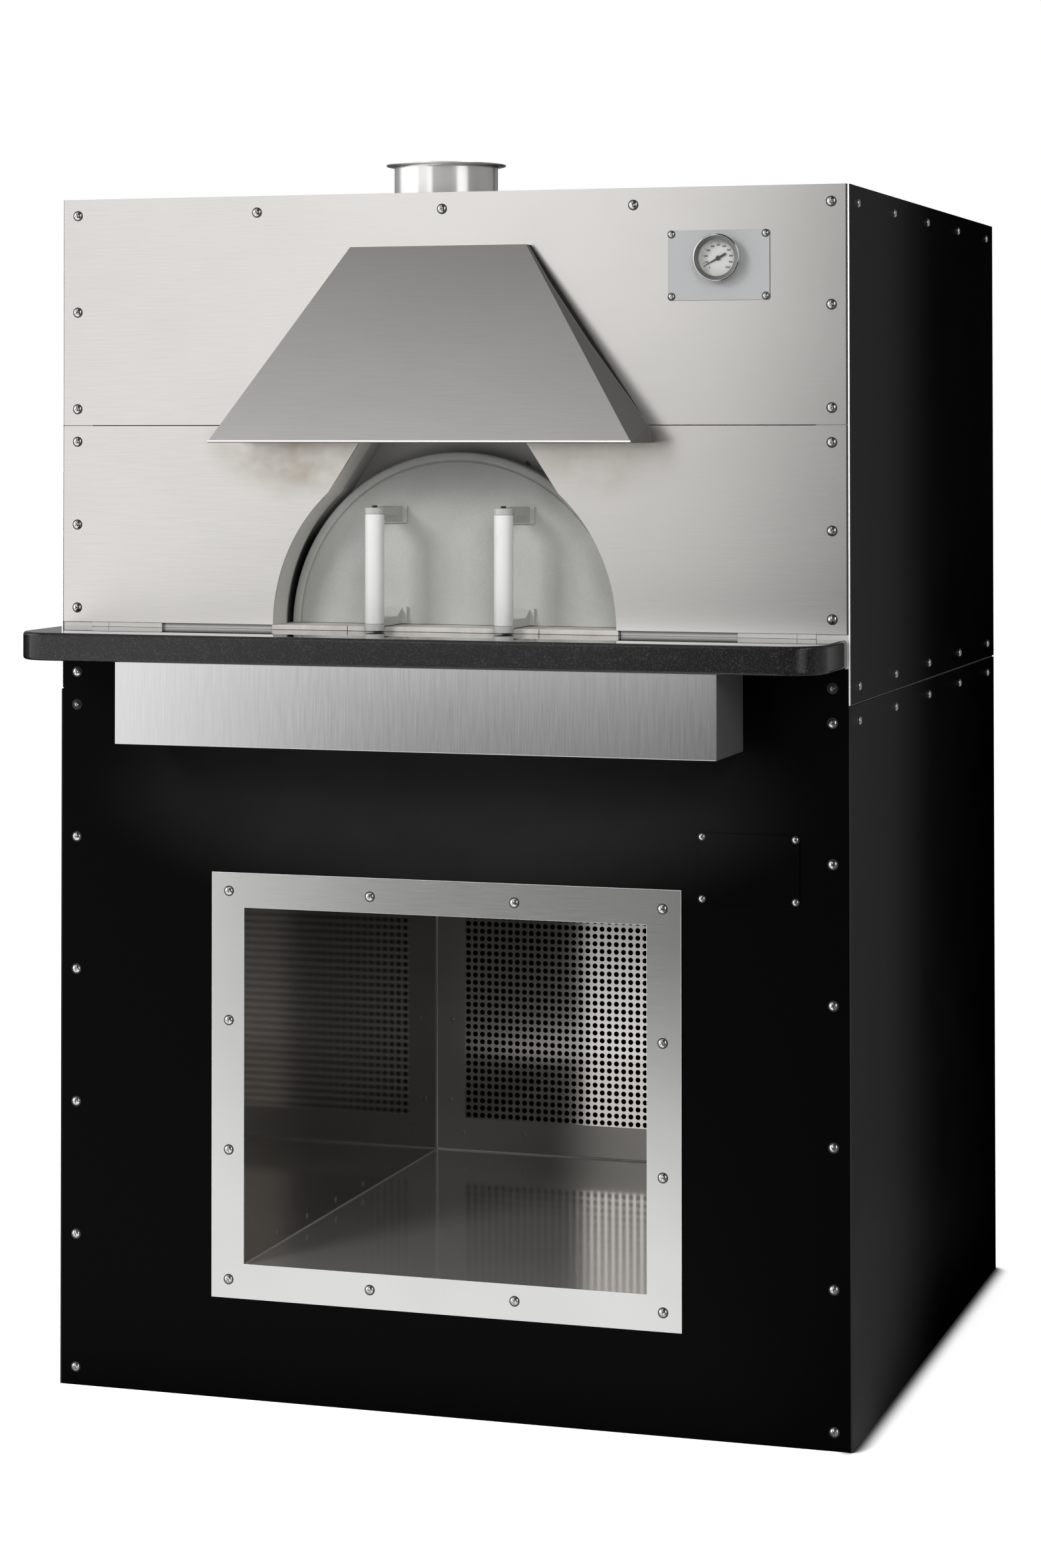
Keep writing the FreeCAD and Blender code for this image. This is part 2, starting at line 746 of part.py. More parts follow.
def cover_plate(x, z, width, height, thick, corner):
    """Cover plate on the front face with its corners taken off."""
    plate = box(x - width / 2, x + width / 2, -thick, 0, z - height / 2, z + height / 2)
    upright = [edge for edge in plate.Edges if edge.BoundBox.YLength > thick / 2]
    return drilled(plate.makeChamfer(corner, upright))


# Thermometer
case_front_y = -gauge_plate_thick - case_depth
case_floor_y = -gauge_plate_thick - case_wall
case_bore = case_radius - case_wall
dial_face_y = case_floor_y - dial_thick
bore_radius = spindle_radius + spindle_clearance


def gauge_disc(radius, y0, y1):
    """Disc about the dial's axis."""
    return facet_bar(point(gauge_x, y0, gauge_z), Y_AXIS, radius, y1 - y0, dial_sides)


def gauge_pin(radius, y0, y1):
    """Small round bar on the dial's axis."""
    return facet_bar(point(gauge_x, y0, gauge_z), Y_AXIS, radius, y1 - y0)


def gauge_plate():
    plate = cover_plate(gauge_plate_x, gauge_plate_z, gauge_plate_width, gauge_plate_height,
                        gauge_plate_thick, plate_corner)
    return plate.cut(gauge_pin(stem_radius + screw_clearance, -gauge_plate_thick, 0))


def gauge_case():
    """Cup that holds the dial and the spindle."""
    cup = gauge_disc(case_radius, case_front_y, -gauge_plate_thick)
    cup = cup.cut(gauge_disc(case_bore, case_front_y, case_floor_y))
    return cup.cut(gauge_pin(bore_radius, case_floor_y, -gauge_plate_thick))


def gauge_bezel():
    """Front ring that holds the glass down on the case."""
    back_y = case_front_y
    front_y = case_front_y - glass_thick - bezel_depth
    body = gauge_disc(bezel_radius, front_y, back_y)
    body = body.cut(gauge_disc(case_radius, back_y - glass_thick, back_y))
    return body.cut(gauge_disc(bezel_radius - bezel_lip, front_y, back_y - glass_thick))


def gauge_glass():
    return gauge_disc(case_radius - rod_clearance, case_front_y - glass_thick, case_front_y)


def gauge_dial():
    disc = gauge_disc(case_bore - rod_clearance, dial_face_y, case_floor_y)
    return disc.cut(gauge_pin(bore_radius, dial_face_y, case_floor_y))


def gauge_stem():
    """Threaded stem behind the case with the nut that clamps plate and panel."""
    tip_y = stem_length - gauge_plate_thick
    stem = gauge_pin(stem_radius, -gauge_plate_thick, tip_y)
    stem = stem.cut(gauge_pin(bore_radius, -gauge_plate_thick, spindle_length))
    nut_seat = point(gauge_x, panel_sheet, gauge_z)
    nut = facet_bar(nut_seat, Y_AXIS, stem_nut_width / 2, stem_nut_height, stem_nut_sides)
    nut = nut.cut(gauge_pin(stem_radius, panel_sheet, panel_sheet + stem_nut_height))
    return Part.makeCompound([stem, nut])


def gauge_pointer():
    """Needle, hub and spindle, turned to the reading at rest."""
    turn = math.radians(pointer_rest_deg)
    back_y = dial_face_y - pointer_lift

    def place(along, across):
        x = gauge_x + along * math.cos(turn) - across * math.sin(turn)
        return point(x, back_y, gauge_z + along * math.sin(turn) + across * math.cos(turn))

    needle = closed_face([place(pointer_tip, pointer_tip_half), place(pointer_tip, -pointer_tip_half),
                          place(-pointer_tail, -pointer_tail_half), place(-pointer_tail, pointer_tail_half)])
    needle = needle.extrude(-Y_AXIS * pointer_thick)
    hub = gauge_pin(pointer_hub_radius, back_y - 2 * pointer_thick, back_y)
    spindle = gauge_pin(spindle_radius, back_y, back_y + spindle_length)
    return needle.fuse([hub, spindle]).removeSplitter()


# Door
def half_disc(radius, y0, y1):
    """Arched slab standing on the door's lower edge."""
    disc = cylinder(point(0, y0, door_bottom_z - door_drop), Y_AXIS, radius, y1 - y0)
    return disc.common(box(-radius, radius, y0, y1, door_bottom_z, door_bottom_z + radius))


def door_panel():
    """Cast door with a raised rim along its arch."""
    slab = half_disc(door_radius, door_front, door_back)
    return slab.cut(half_disc(door_radius - door_rim, door_front, door_field))


def bracket(x, outer_z, up):
    """Cast handle bracket: eye, arm, pad and the web between them. It grows from its outer face inwards.

    The lower arm is raised to clear the threshold; both arms step up to their full depth behind the grip.
    """
    def level(rise):
        return outer_z + up * rise

    def bar(half, y0, y1, rise0, rise1):
        low, high = sorted((level(rise0), level(rise1)))
        return box(x - half, x + half, y0, y1, low, high)

    arm_rise = max(0, up) * (door_bottom_z + arm_gap - eye_bottom_z)
    arm_top = arm_rise + arm_thick
    eye_low = min(level(0), level(eye_thick))
    eye = facet_bar(point(x, grip_y, eye_low), Z_AXIS, eye_radius, eye_thick, eye_sides)
    toe_y = grip_y + grip_radius + arm_clearance
    neck = bar(arm_width / 2, grip_y, toe_y, arm_rise, eye_thick)
    arm = bar(arm_width / 2, toe_y, door_field, arm_rise, arm_top)
    pad = bar(pad_width / 2, door_field - pad_thick, door_field, arm_rise, arm_rise + pad_height)
    web_x = x - arm_width / 2
    pad_front = door_field - pad_thick
    web = closed_face([point(web_x, pad_front - web_run, level(arm_top)),
                       point(web_x, pad_front, level(arm_top)),
                       point(web_x, pad_front, level(arm_rise + pad_height))])
    web = web.extrude(X_AXIS * arm_width)
    hole = facet_bar(point(x, grip_y, eye_low), Z_AXIS, rod_radius + rod_clearance, eye_thick)
    return eye.fuse([neck, arm, pad, web]).cut(hole).removeSplitter()


def grip(x):
    """Round sleeve on its long screw."""
    foot = point(x, grip_y, grip_bottom_z)
    sleeve = facet_bar(foot, Z_AXIS, grip_radius, grip_length, grip_sides)
    return sleeve.cut(facet_bar(foot, Z_AXIS, rod_radius + rod_clearance, grip_length))


def handle_rods():
    """Long screws through the eyes and grips."""
    rods = []
    for x in (-handle_half, handle_half):
        rod = facet_bar(point(x, grip_y, eye_bottom_z), Z_AXIS, rod_radius, eye_top_z - eye_bottom_z)
        head = facet_bar(point(x, grip_y, eye_top_z), Z_AXIS, rod_head_radius, rod_head_h)
        rods.append(rod.fuse(head))
    return Part.makeCompound(rods)


def export(name, shape):
    """Move a piece to the part's origin and write it."""
    placed = shape.copy()
    placed.translate(Y_AXIS * origin_shift)
    placed.exportStep(f"parts/{name}.step")
    print(f"{name:28s} solids {len(placed.Solids)} volume {placed.Volume / 1000:10.1f} cm3")


os.makedirs("parts", exist_ok=True)

upper_side = right_side(side_seam_z + seam_gap / 2, body_height)
lower_side = right_side(0, side_seam_z - seam_gap / 2)
lower_front = right_lower_front()
store_wall = store_right_wall()
reveal = right_reveal()

pieces = {
    "base_lower_rails": Part.makeCompound(rail_ring(0)),
    "base_frame": base_frame(),
    "module_frame": module_frame(),
    "floor_pan": box(-post_inner, post_inner, front_rail_back, rear_rail_y, side_seam_z, pan_top_z),
    "hearth_insulation": box(hearth_gap - post_inner, post_inner - hearth_gap, front_rail_back + hearth_gap,
                             hearth_back, pan_top_z, mantle_bottom_z),
    "hearth_tiles": hearth_tiles(),
    "mantle_bearer": box(-post_inner, post_inner, panel_sheet, front_rail_back,
                         module_post_z, mantle_bottom_z),
    "mantle_slab": mantle_slab(),
    "mantle_support_box": mantle_support(),
    "threshold_tiles": threshold_tiles(),
    "panel_shims": panel_shims(),
    "left_reveal": mirrored(reveal),
    "right_reveal": reveal,
    "mouth_plate": mouth_plate(),
    "mouth_arch": mouth_arch(),
    "dome": dome(),
    "dome_blanket": dome_blanket(),
    "left_lower_front_panel": mirrored(lower_front),
    "right_lower_front_panel": lower_front,
    "upper_front_panel": upper_front(),
    "hood": hood(),
    "smoke_duct": smoke_duct(),
    "flue_collar": flue_collar(),
    "roof_panel": roof(),
    "left_upper_side_panel": mirrored(upper_side),
    "right_upper_side_panel": upper_side,
    "left_lower_side_panel": mirrored(lower_side),
    "right_lower_side_panel": lower_side,
    "upper_rear_panel": rear_panel(side_seam_z + seam_gap / 2, body_height),
    "lower_rear_panel": rear_panel(0, side_seam_z - seam_gap / 2),
    "base_front_panel": base_front(),
    "store_left_wall": mirrored(store_wall),
    "store_right_wall": store_wall,
    "store_floor": store_deck(store_floor_z - store_sheet, store_floor_z - store_flange, store_floor_z),
    "store_ceiling": store_deck(store_ceiling_z, store_ceiling_z, store_ceiling_z + store_flange),
    "store_rear_wall": store_rear(),
    "trim_frame": trim_frame(),
    "access_plate": cover_plate(access_x, access_z, access_width, access_height, access_sheet, plate_corner),
    "front_panel_screws": screw_group(front_seats, LARGE),
    "base_panel_screws": screw_group(base_seats, LARGE),
    "trim_screws": screw_group(trim_seats, LARGE),
    "side_screws": screw_group(side_seats, LARGE),
    "rear_screws": screw_group(rear_seats, LARGE),
    "plate_screws": screw_group(plate_seats, SMALL),
    "thermometer_plate": gauge_plate(),
    "thermometer_case": gauge_case(),
    "thermometer_bezel": gauge_bezel(),
    "thermometer_glass": gauge_glass(),
    "thermometer_dial": gauge_dial(),
    "thermometer_stem": gauge_stem(),
    "thermometer_pointer": gauge_pointer(),
    "door_panel": door_panel(),
    "upper_left_bracket": bracket(-handle_half, eye_top_z, -1),
    "upper_right_bracket": bracket(handle_half, eye_top_z, -1),
    "lower_left_bracket": bracket(-handle_half, eye_bottom_z, 1),
    "lower_right_bracket": bracket(handle_half, eye_bottom_z, 1),
    "left_grip": grip(-handle_half),
    "right_grip": grip(handle_half),
    "handle_rods": handle_rods(),
}

for piece_name, piece_shape in pieces.items():
    export(piece_name, piece_shape)
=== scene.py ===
# %% [markdown]
# # A wood-fired oven on its cabinet
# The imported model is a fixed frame: every solid already stands where it belongs, in metres, with the floor
# at z = 0 and the oven's front towards -y. This lesson dresses that frame. Flat sheets get eased edges, round
# pieces are turned from profiles, and everything that repeats is grown with Geometry Nodes.

# %% Load the frame
import json
import math
from functools import partial

import bmesh
import bpy
import numpy as np
from mathutils import Matrix, Vector

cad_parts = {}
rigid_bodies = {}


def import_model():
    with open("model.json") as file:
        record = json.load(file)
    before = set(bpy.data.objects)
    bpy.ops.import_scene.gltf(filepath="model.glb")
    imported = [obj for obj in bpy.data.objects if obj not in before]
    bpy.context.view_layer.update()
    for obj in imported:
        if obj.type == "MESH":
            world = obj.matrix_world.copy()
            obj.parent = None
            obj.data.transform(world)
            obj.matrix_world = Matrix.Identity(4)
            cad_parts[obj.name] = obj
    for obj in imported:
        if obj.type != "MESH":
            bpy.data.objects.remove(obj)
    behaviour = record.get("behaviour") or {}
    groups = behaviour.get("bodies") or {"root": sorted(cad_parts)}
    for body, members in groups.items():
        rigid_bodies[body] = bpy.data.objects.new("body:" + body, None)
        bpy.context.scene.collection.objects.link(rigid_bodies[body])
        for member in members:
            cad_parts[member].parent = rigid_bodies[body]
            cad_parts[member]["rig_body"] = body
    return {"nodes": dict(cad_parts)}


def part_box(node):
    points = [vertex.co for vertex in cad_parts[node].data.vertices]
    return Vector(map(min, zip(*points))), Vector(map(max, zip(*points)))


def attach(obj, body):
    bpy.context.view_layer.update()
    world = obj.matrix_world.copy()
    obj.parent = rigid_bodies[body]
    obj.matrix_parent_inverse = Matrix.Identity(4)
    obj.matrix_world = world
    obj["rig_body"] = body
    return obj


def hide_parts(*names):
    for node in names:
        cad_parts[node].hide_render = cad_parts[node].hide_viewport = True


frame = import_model()
nodes = frame["nodes"]
scene = bpy.context.scene
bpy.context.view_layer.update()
MM = 0.001

# %% [markdown]
# ## The camera
# The photographer stood to the right of the oven with a long lens, held almost level, and let the frame drop
# well below the horizon. A level camera keeps upright edges upright, so most of that drop is made with the
# lens shift and only about one degree with tilt. Focal length and horizon are in pixels of the photograph.

# %% Camera
IMAGE_HEIGHT = 2361
LENS_PX = 5347.1
CENTRE_PX = 524.8
TILT, ROLL, TURN = 0.02165, 0.00065, 0.30717
ASIDE, AWAY, EYE_HEIGHT = 1.4373, 4.2061, 1.2327
front_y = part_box("upper_front_panel")[0].y

camera = bpy.data.objects.new("camera", bpy.data.cameras.new("camera"))
scene.collection.objects.link(camera)
camera.data.sensor_width = 36.0
camera.data.lens = camera.data.sensor_width * LENS_PX / IMAGE_HEIGHT
camera.data.shift_y = CENTRE_PX / IMAGE_HEIGHT - 0.5
camera.location = (ASIDE, front_y - AWAY, EYE_HEIGHT)
camera.rotation_euler = (math.pi / 2 + TILT, ROLL, TURN)
scene.camera = camera
print("camera: lens", round(camera.data.lens, 1), "mm, shift", round(camera.data.shift_y, 3))

# %% [markdown]
# ## Node trees in a few words
# A finish and a Geometry Nodes tree are both node trees, so the same helpers serve both: add a node, and fill
# its inputs with plain values or with other nodes' outputs. An output knows the tree it belongs to, so sums,
# products and mixes can be written like ordinary function calls.


# %% Helpers for node trees
def plug(socket, value):
    """Link an output to an input, or give the input a plain value; a node stands for its first output."""
    if isinstance(value, bpy.types.Node):
        value = value.outputs[0]
    if isinstance(value, bpy.types.NodeSocket):
        socket.id_data.links.new(value, socket)
    else:
        socket.default_value = value


def feed(node, **inputs):
    """Fill inputs by name; a blank in the name is written as an underscore."""
    for name, value in inputs.items():
        plug(node.inputs[name.replace("_", " ")], value)
    return node


def add_node(tree, kind, **given):
    """Add a node; names in small letters are its settings, the others are its inputs."""
    made = tree.nodes.new(kind)
    for name in filter(str.islower, given):
        setattr(made, name, given[name])
    return feed(made, **{name: value for name, value in given.items() if not name.islower()})


def calc(operation, *values):
    """Join values, at least one of which comes from a node, with Math nodes."""
    tree = next(value.id_data for value in values if hasattr(value, "id_data"))
    result = values[0]
    for value in values[1:] or (0.0,):
        node = add_node(tree, "ShaderNodeMath", operation=operation)
        for socket, part in zip(node.inputs, (result, value)):
            plug(socket, part)
        result = node.outputs[0]
    return result


def remap(source, low, high, to_low=0.0, to_high=1.0, ends="LINEAR"):
    """Turn one range of values into another."""
    return add_node(source.id_data, "ShaderNodeMapRange", interpolation_type=ends, Value=source, From_Min=low,
                    From_Max=high, To_Min=to_low, To_Max=to_high).outputs["Result"]


def tint(share, first, second):
    """Mix two colours; either may be an output of another node."""
    node = add_node(share.id_data, "ShaderNodeMix", data_type="RGBA")
    for index, value in ((0, share), (6, first), (7, second)):
        plug(node.inputs[index], (*value, 1.0) if isinstance(value, tuple) else value)
    return node.outputs[2]


def vector_of(tree, **parts):
    return add_node(tree, "ShaderNodeCombineXYZ", **parts).outputs["Vector"]


def coordinates(tree, kind="Object"):
    split = add_node(tree, "ShaderNodeSeparateXYZ", Vector=add_node(tree, "ShaderNodeTexCoord").outputs[kind])
    return [split.outputs[axis] for axis in "XYZ"]


plus, minus, times = (partial(calc, name) for name in ("ADD", "SUBTRACT", "MULTIPLY"))
fade = partial(remap, ends="SMOOTHSTEP")
print("helpers for node trees are ready")

# %% [markdown]
# ## Studio
# A white sweep and large soft lamps stand round the oven. Camera rays see the surround as white. Polished sheet
# sees more of it: a bright left half, a dim right half and two upright light boxes that, from the camera's
# side, only round pieces mirror. So the broad gradients across the front sheets come from reflection, not paint.

# %% Surround
AMBIENT = 0.5


def ray_kinds(tree):
    """1 for rays from the camera, and 1 for rays that were mirrored or let through."""
    rays = add_node(tree, "ShaderNodeLightPath").outputs
    return rays["Is Camera Ray"], calc("MAXIMUM", rays["Is Glossy Ray"], rays["Is Transmission Ray"])


world = bpy.data.worlds.new("studio")
scene.world = world
world.use_nodes = True
tree = world.node_tree
tree.nodes.clear()
x, y, z = coordinates(tree, "Generated")
from_left = fade(x, -0.236, -0.196, 1.4, 0.1)
far_side = fade(x, -0.5, -0.3, 0.58, 1.0)
overhead = fade(z, 0.2, 0.75, 1.0, 0.45)
behind = remap(remap(x, -0.05, 0.05), 0.0, 1.0, fade(y, 0.0, 0.4, 1.0, 0.25), fade(y, -0.2, 0.4, 1.0, 2.2))
left_box = times(fade(x, -0.76, -0.7, 0.8, 0.0), fade(y, 0.1, 0.4, 1.0, 0.0))
right_box = times(fade(x, 0.66, 0.7, 0.0, 1.4), fade(x, 0.9, 0.94, 1.0, 0.0), remap(y, -0.2, 0.0, 1.0, 0.0))
sweep = plus(times(from_left, far_side, overhead, behind), left_box, right_box)
from_camera, mirrored = ray_kinds(tree)
level = remap(from_camera, 0.0, 1.0, remap(mirrored, 0.0, 1.0, AMBIENT, sweep), 1.0)
surround = add_node(tree, "ShaderNodeBackground", Color=(1.0, 1.0, 1.0, 1.0), Strength=level)
add_node(tree, "ShaderNodeOutputWorld", Surface=surround)
scene.view_settings.view_transform = "Standard"
print("surround: white to the camera, graded for reflections")

# %% [markdown]
# The lamps themselves stay out of reflections. The floor is white to the camera and keeps the oven's shadow,
# dark where the right side meets it. In polished sheet it shows a pool of light in front of the oven, and far
# out to the right a weaker one for the slab's round corner. A black flag behind keeps the right side dark.


# %% Lamps
def soft_lamp(name, place, aim, width, height, power):
    lamp = bpy.data.lights.new(name, "AREA")
    lamp.shape = "RECTANGLE"
    lamp.size, lamp.size_y, lamp.energy = width, height, power
    holder = bpy.data.objects.new(name, lamp)
    holder.location = place
    holder.rotation_euler = (Vector(aim) - Vector(place)).to_track_quat("-Z", "Y").to_euler()
    holder.visible_glossy = False
    scene.collection.objects.link(holder)


soft_lamp("left_softbox", (-2.2, -4.2, 3.1), (0.0, -0.4, 0.9), 1.3, 1.3, 115.0)
soft_lamp("top_softbox", (0.2, -1.6, 3.9), (0.0, -0.4, 0.9), 2.6, 1.8, 12.0)
soft_lamp("front_softbox", (2.4, -5.0, 2.8), (0.0, -0.4, 1.0), 1.6, 1.6, 105.0)
print("lamps: 3")


# %% Floor and flag
def join_shaders(tree, kind, *parts):
    node = add_node(tree, kind)
    for socket, part in zip(node.inputs, parts):
        plug(socket, part)
    return node


def card(name, corners, finish):
    mesh = bpy.data.meshes.new(name)
    mesh.from_pydata(corners, [], [(0, 1, 2, 3)])
    mesh.materials.append(finish)
    piece = bpy.data.objects.new(name, mesh)
    scene.collection.objects.link(piece)
    return piece


FLOOR_HALF = 30.0
floor_finish = bpy.data.materials.new("floor_white")
floor_finish.use_nodes = True
tree = floor_finish.node_tree
tree.nodes.clear()
x, y, z = coordinates(tree)
bearing = calc("DIVIDE", x, times(y, -1.0))
far_band = times(fade(y, -24.0, -13.0, 1.25, 0.0), fade(bearing, -0.24, -0.2, 1.0, 0.1))
pool = calc("MAXIMUM", fade(y, -4.6, -1.2, 0.1, 1.08), fade(bearing, -0.5, -0.33, 1.08, 0.17), far_band)
slant = times(plus(y, 0.9), 0.25)
pool = times(pool, fade(minus(x, slant), 0.23, 0.42, 1.0, 0.13))
far_right = times(fade(bearing, 0.5, 1.1, 0.0, 1.3), fade(bearing, 1.1, 2.3, 1.0, 0.0), remap(x, 7.0, 7.8))
beside = fade(minus(y, times(x, 4.45)), -2.75, -2.5, 0.3, 0.0)
pool = remap(remap(y, -0.7, -0.3), 0.0, 1.0, plus(pool, far_right), beside)
from_camera, mirrored = ray_kinds(tree)
plain = add_node(tree, "ShaderNodeBsdfDiffuse", Color=(0.92, 0.92, 0.92, 1.0))
glow = add_node(tree, "ShaderNodeEmission", Strength=times(from_camera, 0.62))
lit = join_shaders(tree, "ShaderNodeAddShader", plain, glow)
corner = add_node(tree, "ShaderNodeAmbientOcclusion", samples=16, Distance=0.035)
contact = times(fade(corner.outputs["AO"], 0.5, 0.92, 1.0, 0.0), remap(x, 0.5, 0.52))
dark = add_node(tree, "ShaderNodeBsdfDiffuse", Color=(0.005, 0.005, 0.005, 1.0))
shadowed = join_shaders(tree, "ShaderNodeMixShader", contact, lit, dark)
reflection = add_node(tree, "ShaderNodeEmission", Strength=pool)
surface = join_shaders(tree, "ShaderNodeMixShader", mirrored, shadowed, reflection)
add_node(tree, "ShaderNodeOutputMaterial", Surface=surface)
floor = card("floor", [(a * FLOOR_HALF, b * FLOOR_HALF, 0) for a, b in ((-1, -1), (1, -1), (1, 1), (-1, 1))],
             floor_finish)

flag_finish = bpy.data.materials.new("flag_black")
flag_finish.use_nodes = True
feed(flag_finish.node_tree.nodes["Principled BSDF"], Base_Color=(0.0, 0.0, 0.0, 1.0), Specular_IOR_Level=0.0)
flag = card("black_flag", [(0.55, 1.0, 0.0), (0.9, 1.0, 0.0), (0.9, 1.0, 2.6), (0.55, 1.0, 2.6)], flag_finish)
flag.visible_camera = flag.visible_diffuse = flag.visible_shadow = False
print("studio: a white floor and a black flag")

# %% [markdown]
# ## Finishes
# Each finish is a Principled shader fed by noise on Object coordinates, so its grain has a real size in
# metres and stays put when a piece moves. Brushing is noise that is stretched a long way along the grain.


# %% Helpers for finishes
def new_finish(name, colour, metallic, roughness, specular=0.5):
    finish = bpy.data.materials.new(name)
    finish.use_nodes = True
    finish.diffuse_color = (*colour, 1.0)
    shader = finish.node_tree.nodes["Principled BSDF"]
    feed(shader, Base_Color=(*colour, 1.0), Metallic=metallic, Roughness=roughness, Specular_IOR_Level=specular)
    return finish, shader


def grain(shader, scale, detail=3.0, roughness=0.55):
    """Noise on Object coordinates; scale is repeats per metre, one number or one for each of x, y and z."""
    tree = shader.id_data
    mapping = add_node(tree, "ShaderNodeMapping", Vector=add_node(tree, "ShaderNodeTexCoord").outputs["Object"],
                       Scale=scale if isinstance(scale, tuple) else (scale, scale, scale))
    return add_node(tree, "ShaderNodeTexNoise", Vector=mapping, Scale=1.0, Detail=detail,
                    Roughness=roughness).outputs["Fac"]


def place_on(shader, axis):
    """One object coordinate, in metres."""
    return coordinates(shader.id_data)["XYZ".index(axis)]


def behind_front(shader):
    return minus(place_on(shader, "Y"), front_y)


def relief(shader, height, strength, distance):
    bump = add_node(shader.id_data, "ShaderNodeBump", Height=height, Strength=strength, Distance=distance)
    feed(shader, Normal=bump)


def shaded(colour, factor):
    return tuple(channel * factor for channel in colour)


def uneven_finish(name, colour, metallic, roughness, fineness, least, most, specular=0.5):
    """A plain finish whose roughness wanders between two values."""
    finish, shader = new_finish(name, colour, metallic, roughness, specular)
    feed(shader, Roughness=remap(grain(shader, fineness), 0.3, 0.7, least, most))
    return finish


print("helpers for finishes are ready")

# %% [markdown]
# ### Brushed sheet
# Stainless sheet leaves the mill with long fine scratches. They could be bump alone, but at this distance the
# eye reads them as faint lines of lighter and darker steel, so the noise drives colour, roughness and a very
# small bump together. A second, broad noise gives the cloudy look of handled sheet. On the front sheets the
# level lines also smear reflections up and down, and the last millimetres on the right are painted near black,
# a painted shade where the sheet turns round the corner.

# %% Brushed sheet
GRAIN_LENGTH = {"X": (20.0, 900.0, 900.0), "Y": (900.0, 20.0, 900.0), "Z": (900.0, 900.0, 20.0)}
STAINLESS = (0.74, 0.72, 0.695)
panel_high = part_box("upper_front_panel")[1]


def brushed(name, colour, roughness, along="X", contrast=0.025, cloud=0.04, metallic=1.0):
    finish, shader = new_finish(name, colour, metallic, roughness)
    lines = grain(shader, GRAIN_LENGTH[along], detail=4.0)
    clouds = grain(shader, (5.0, 5.0, 7.0), detail=2.0)
    fine = tint(remap(lines, 0.3, 0.7), shaded(colour, 1 - contrast), shaded(colour, 1 + contrast))
    broad = tint(remap(clouds, 0.35, 0.65, 0.0, cloud), fine, shaded(colour, 0.55))
    feed(shader, Base_Color=broad, Roughness=remap(lines, 0.25, 0.75, roughness - 0.02, roughness + 0.02))
    relief(shader, lines, 0.004, 0.0003)
    return finish, shader, broad


def front_steel(name, stain=None):
    """Brushed front sheet; a stain, if one is given, is laid over the steel."""
    finish, shader, steel = brushed(name, STAINLESS, 0.24, "X", contrast=0.04, cloud=0.07)
    if stain is not None:
        steel = stain(shader, steel)
    # The last millimetres on the right are painted near black, a painted shade where the sheet turns round the
    # corner.
    painted_edge_shade = remap(place_on(shader, "X"), panel_high.x - 2.3 * MM, panel_high.x - 1.5 * MM, 0.0, 0.88)
    feed(shader, Base_Color=tint(painted_edge_shade, steel, (0.03, 0.03, 0.03)), Anisotropic=0.75,
         Tangent=vector_of(shader.id_data, Z=1.0))
    return finish


front_sheet = front_steel("front_sheet")
box_sheet = brushed("box_sheet", (0.79, 0.79, 0.79), 0.16, "Z", contrast=0.04)[0]
# The ends of the box are a dark copy of its steel, a painted shade.
box_end = brushed("box_end", (0.11, 0.11, 0.111), 0.4, "Z", contrast=0.06, metallic=0.2)[0]
trim_sheet = brushed("trim_sheet", (0.7, 0.705, 0.685), 0.2, "X", contrast=0.02, cloud=0.1)[0]
store_field = brushed("store_field", (0.62, 0.6, 0.58), 0.1, "X", contrast=0.03, cloud=0.12)[0]
# The store's walls, ceiling and the border of its rear wall are darker copies of the store steel, a painted shade
# inside the store.
store_sheet = brushed("store_sheet", (0.36, 0.348, 0.33), 0.075, "X", contrast=0.03, cloud=0.12)[0]
store_border = brushed("store_border", (0.34, 0.33, 0.315), 0.2, "X", contrast=0.03, cloud=0.2, metallic=0.6)[0]
store_deck = brushed("store_deck", (0.62, 0.597, 0.563), 0.085, "Y", contrast=0.03, cloud=0.1, metallic=0.72)[0]
flue_sheet = brushed("flue_sheet", (0.8, 0.79, 0.775), 0.16, "Z", contrast=0.03, metallic=0.62)[0]
# Bare cut steel, made bright as a painted highlight on narrow edges and on the hood's bead.
bare_edge = brushed("bare_edge", (0.9, 0.895, 0.88), 0.3, "Z", contrast=0.02, metallic=0.15)[0]
bare_frame = brushed("bare_frame", (0.66, 0.65, 0.63), 0.4, "Z", contrast=0.03, metallic=0.4)[0]
plate_sheet = brushed("plate_sheet", (0.5, 0.505, 0.51), 0.42, "X", contrast=0.015, cloud=0.04, metallic=0.5)[0]
print("brushed sheet: 12 finishes")

# %% [markdown]
# ### Sheet that has worked near the fire, and painted shade by the mouth
# Smoke rolls out under the hood and browns the sheet beside the mouth, and the plate behind the door is a
# darker grey. The stain is a soft patch whose place is given in metres and whose edge is broken up by noise.
# The hood is darker towards its top, and its last millimetres before the panel are painted near black, a painted
# shadow. Its sides are a darker copy of its steel, a painted shade, with a painted highlight on the cut edge and
# a painted shadow in the gap behind it. The reveals are painted near black deep inside, a painted shade beside
# the door.


# %% Heat-stained sheet
def near(shader, centre, reach):
    """1 at the centre, fading to 0 at the reach, on the front of the oven (x and z in metres)."""
    run = calc("DIVIDE", minus(calc("ABSOLUTE", place_on(shader, "X")), centre[0]), reach[0])
    rise = calc("DIVIDE", minus(place_on(shader, "Z"), centre[1]), reach[1])
    return fade(plus(times(run, run), times(rise, rise)), 0.0, 1.0, 1.0, 0.0)


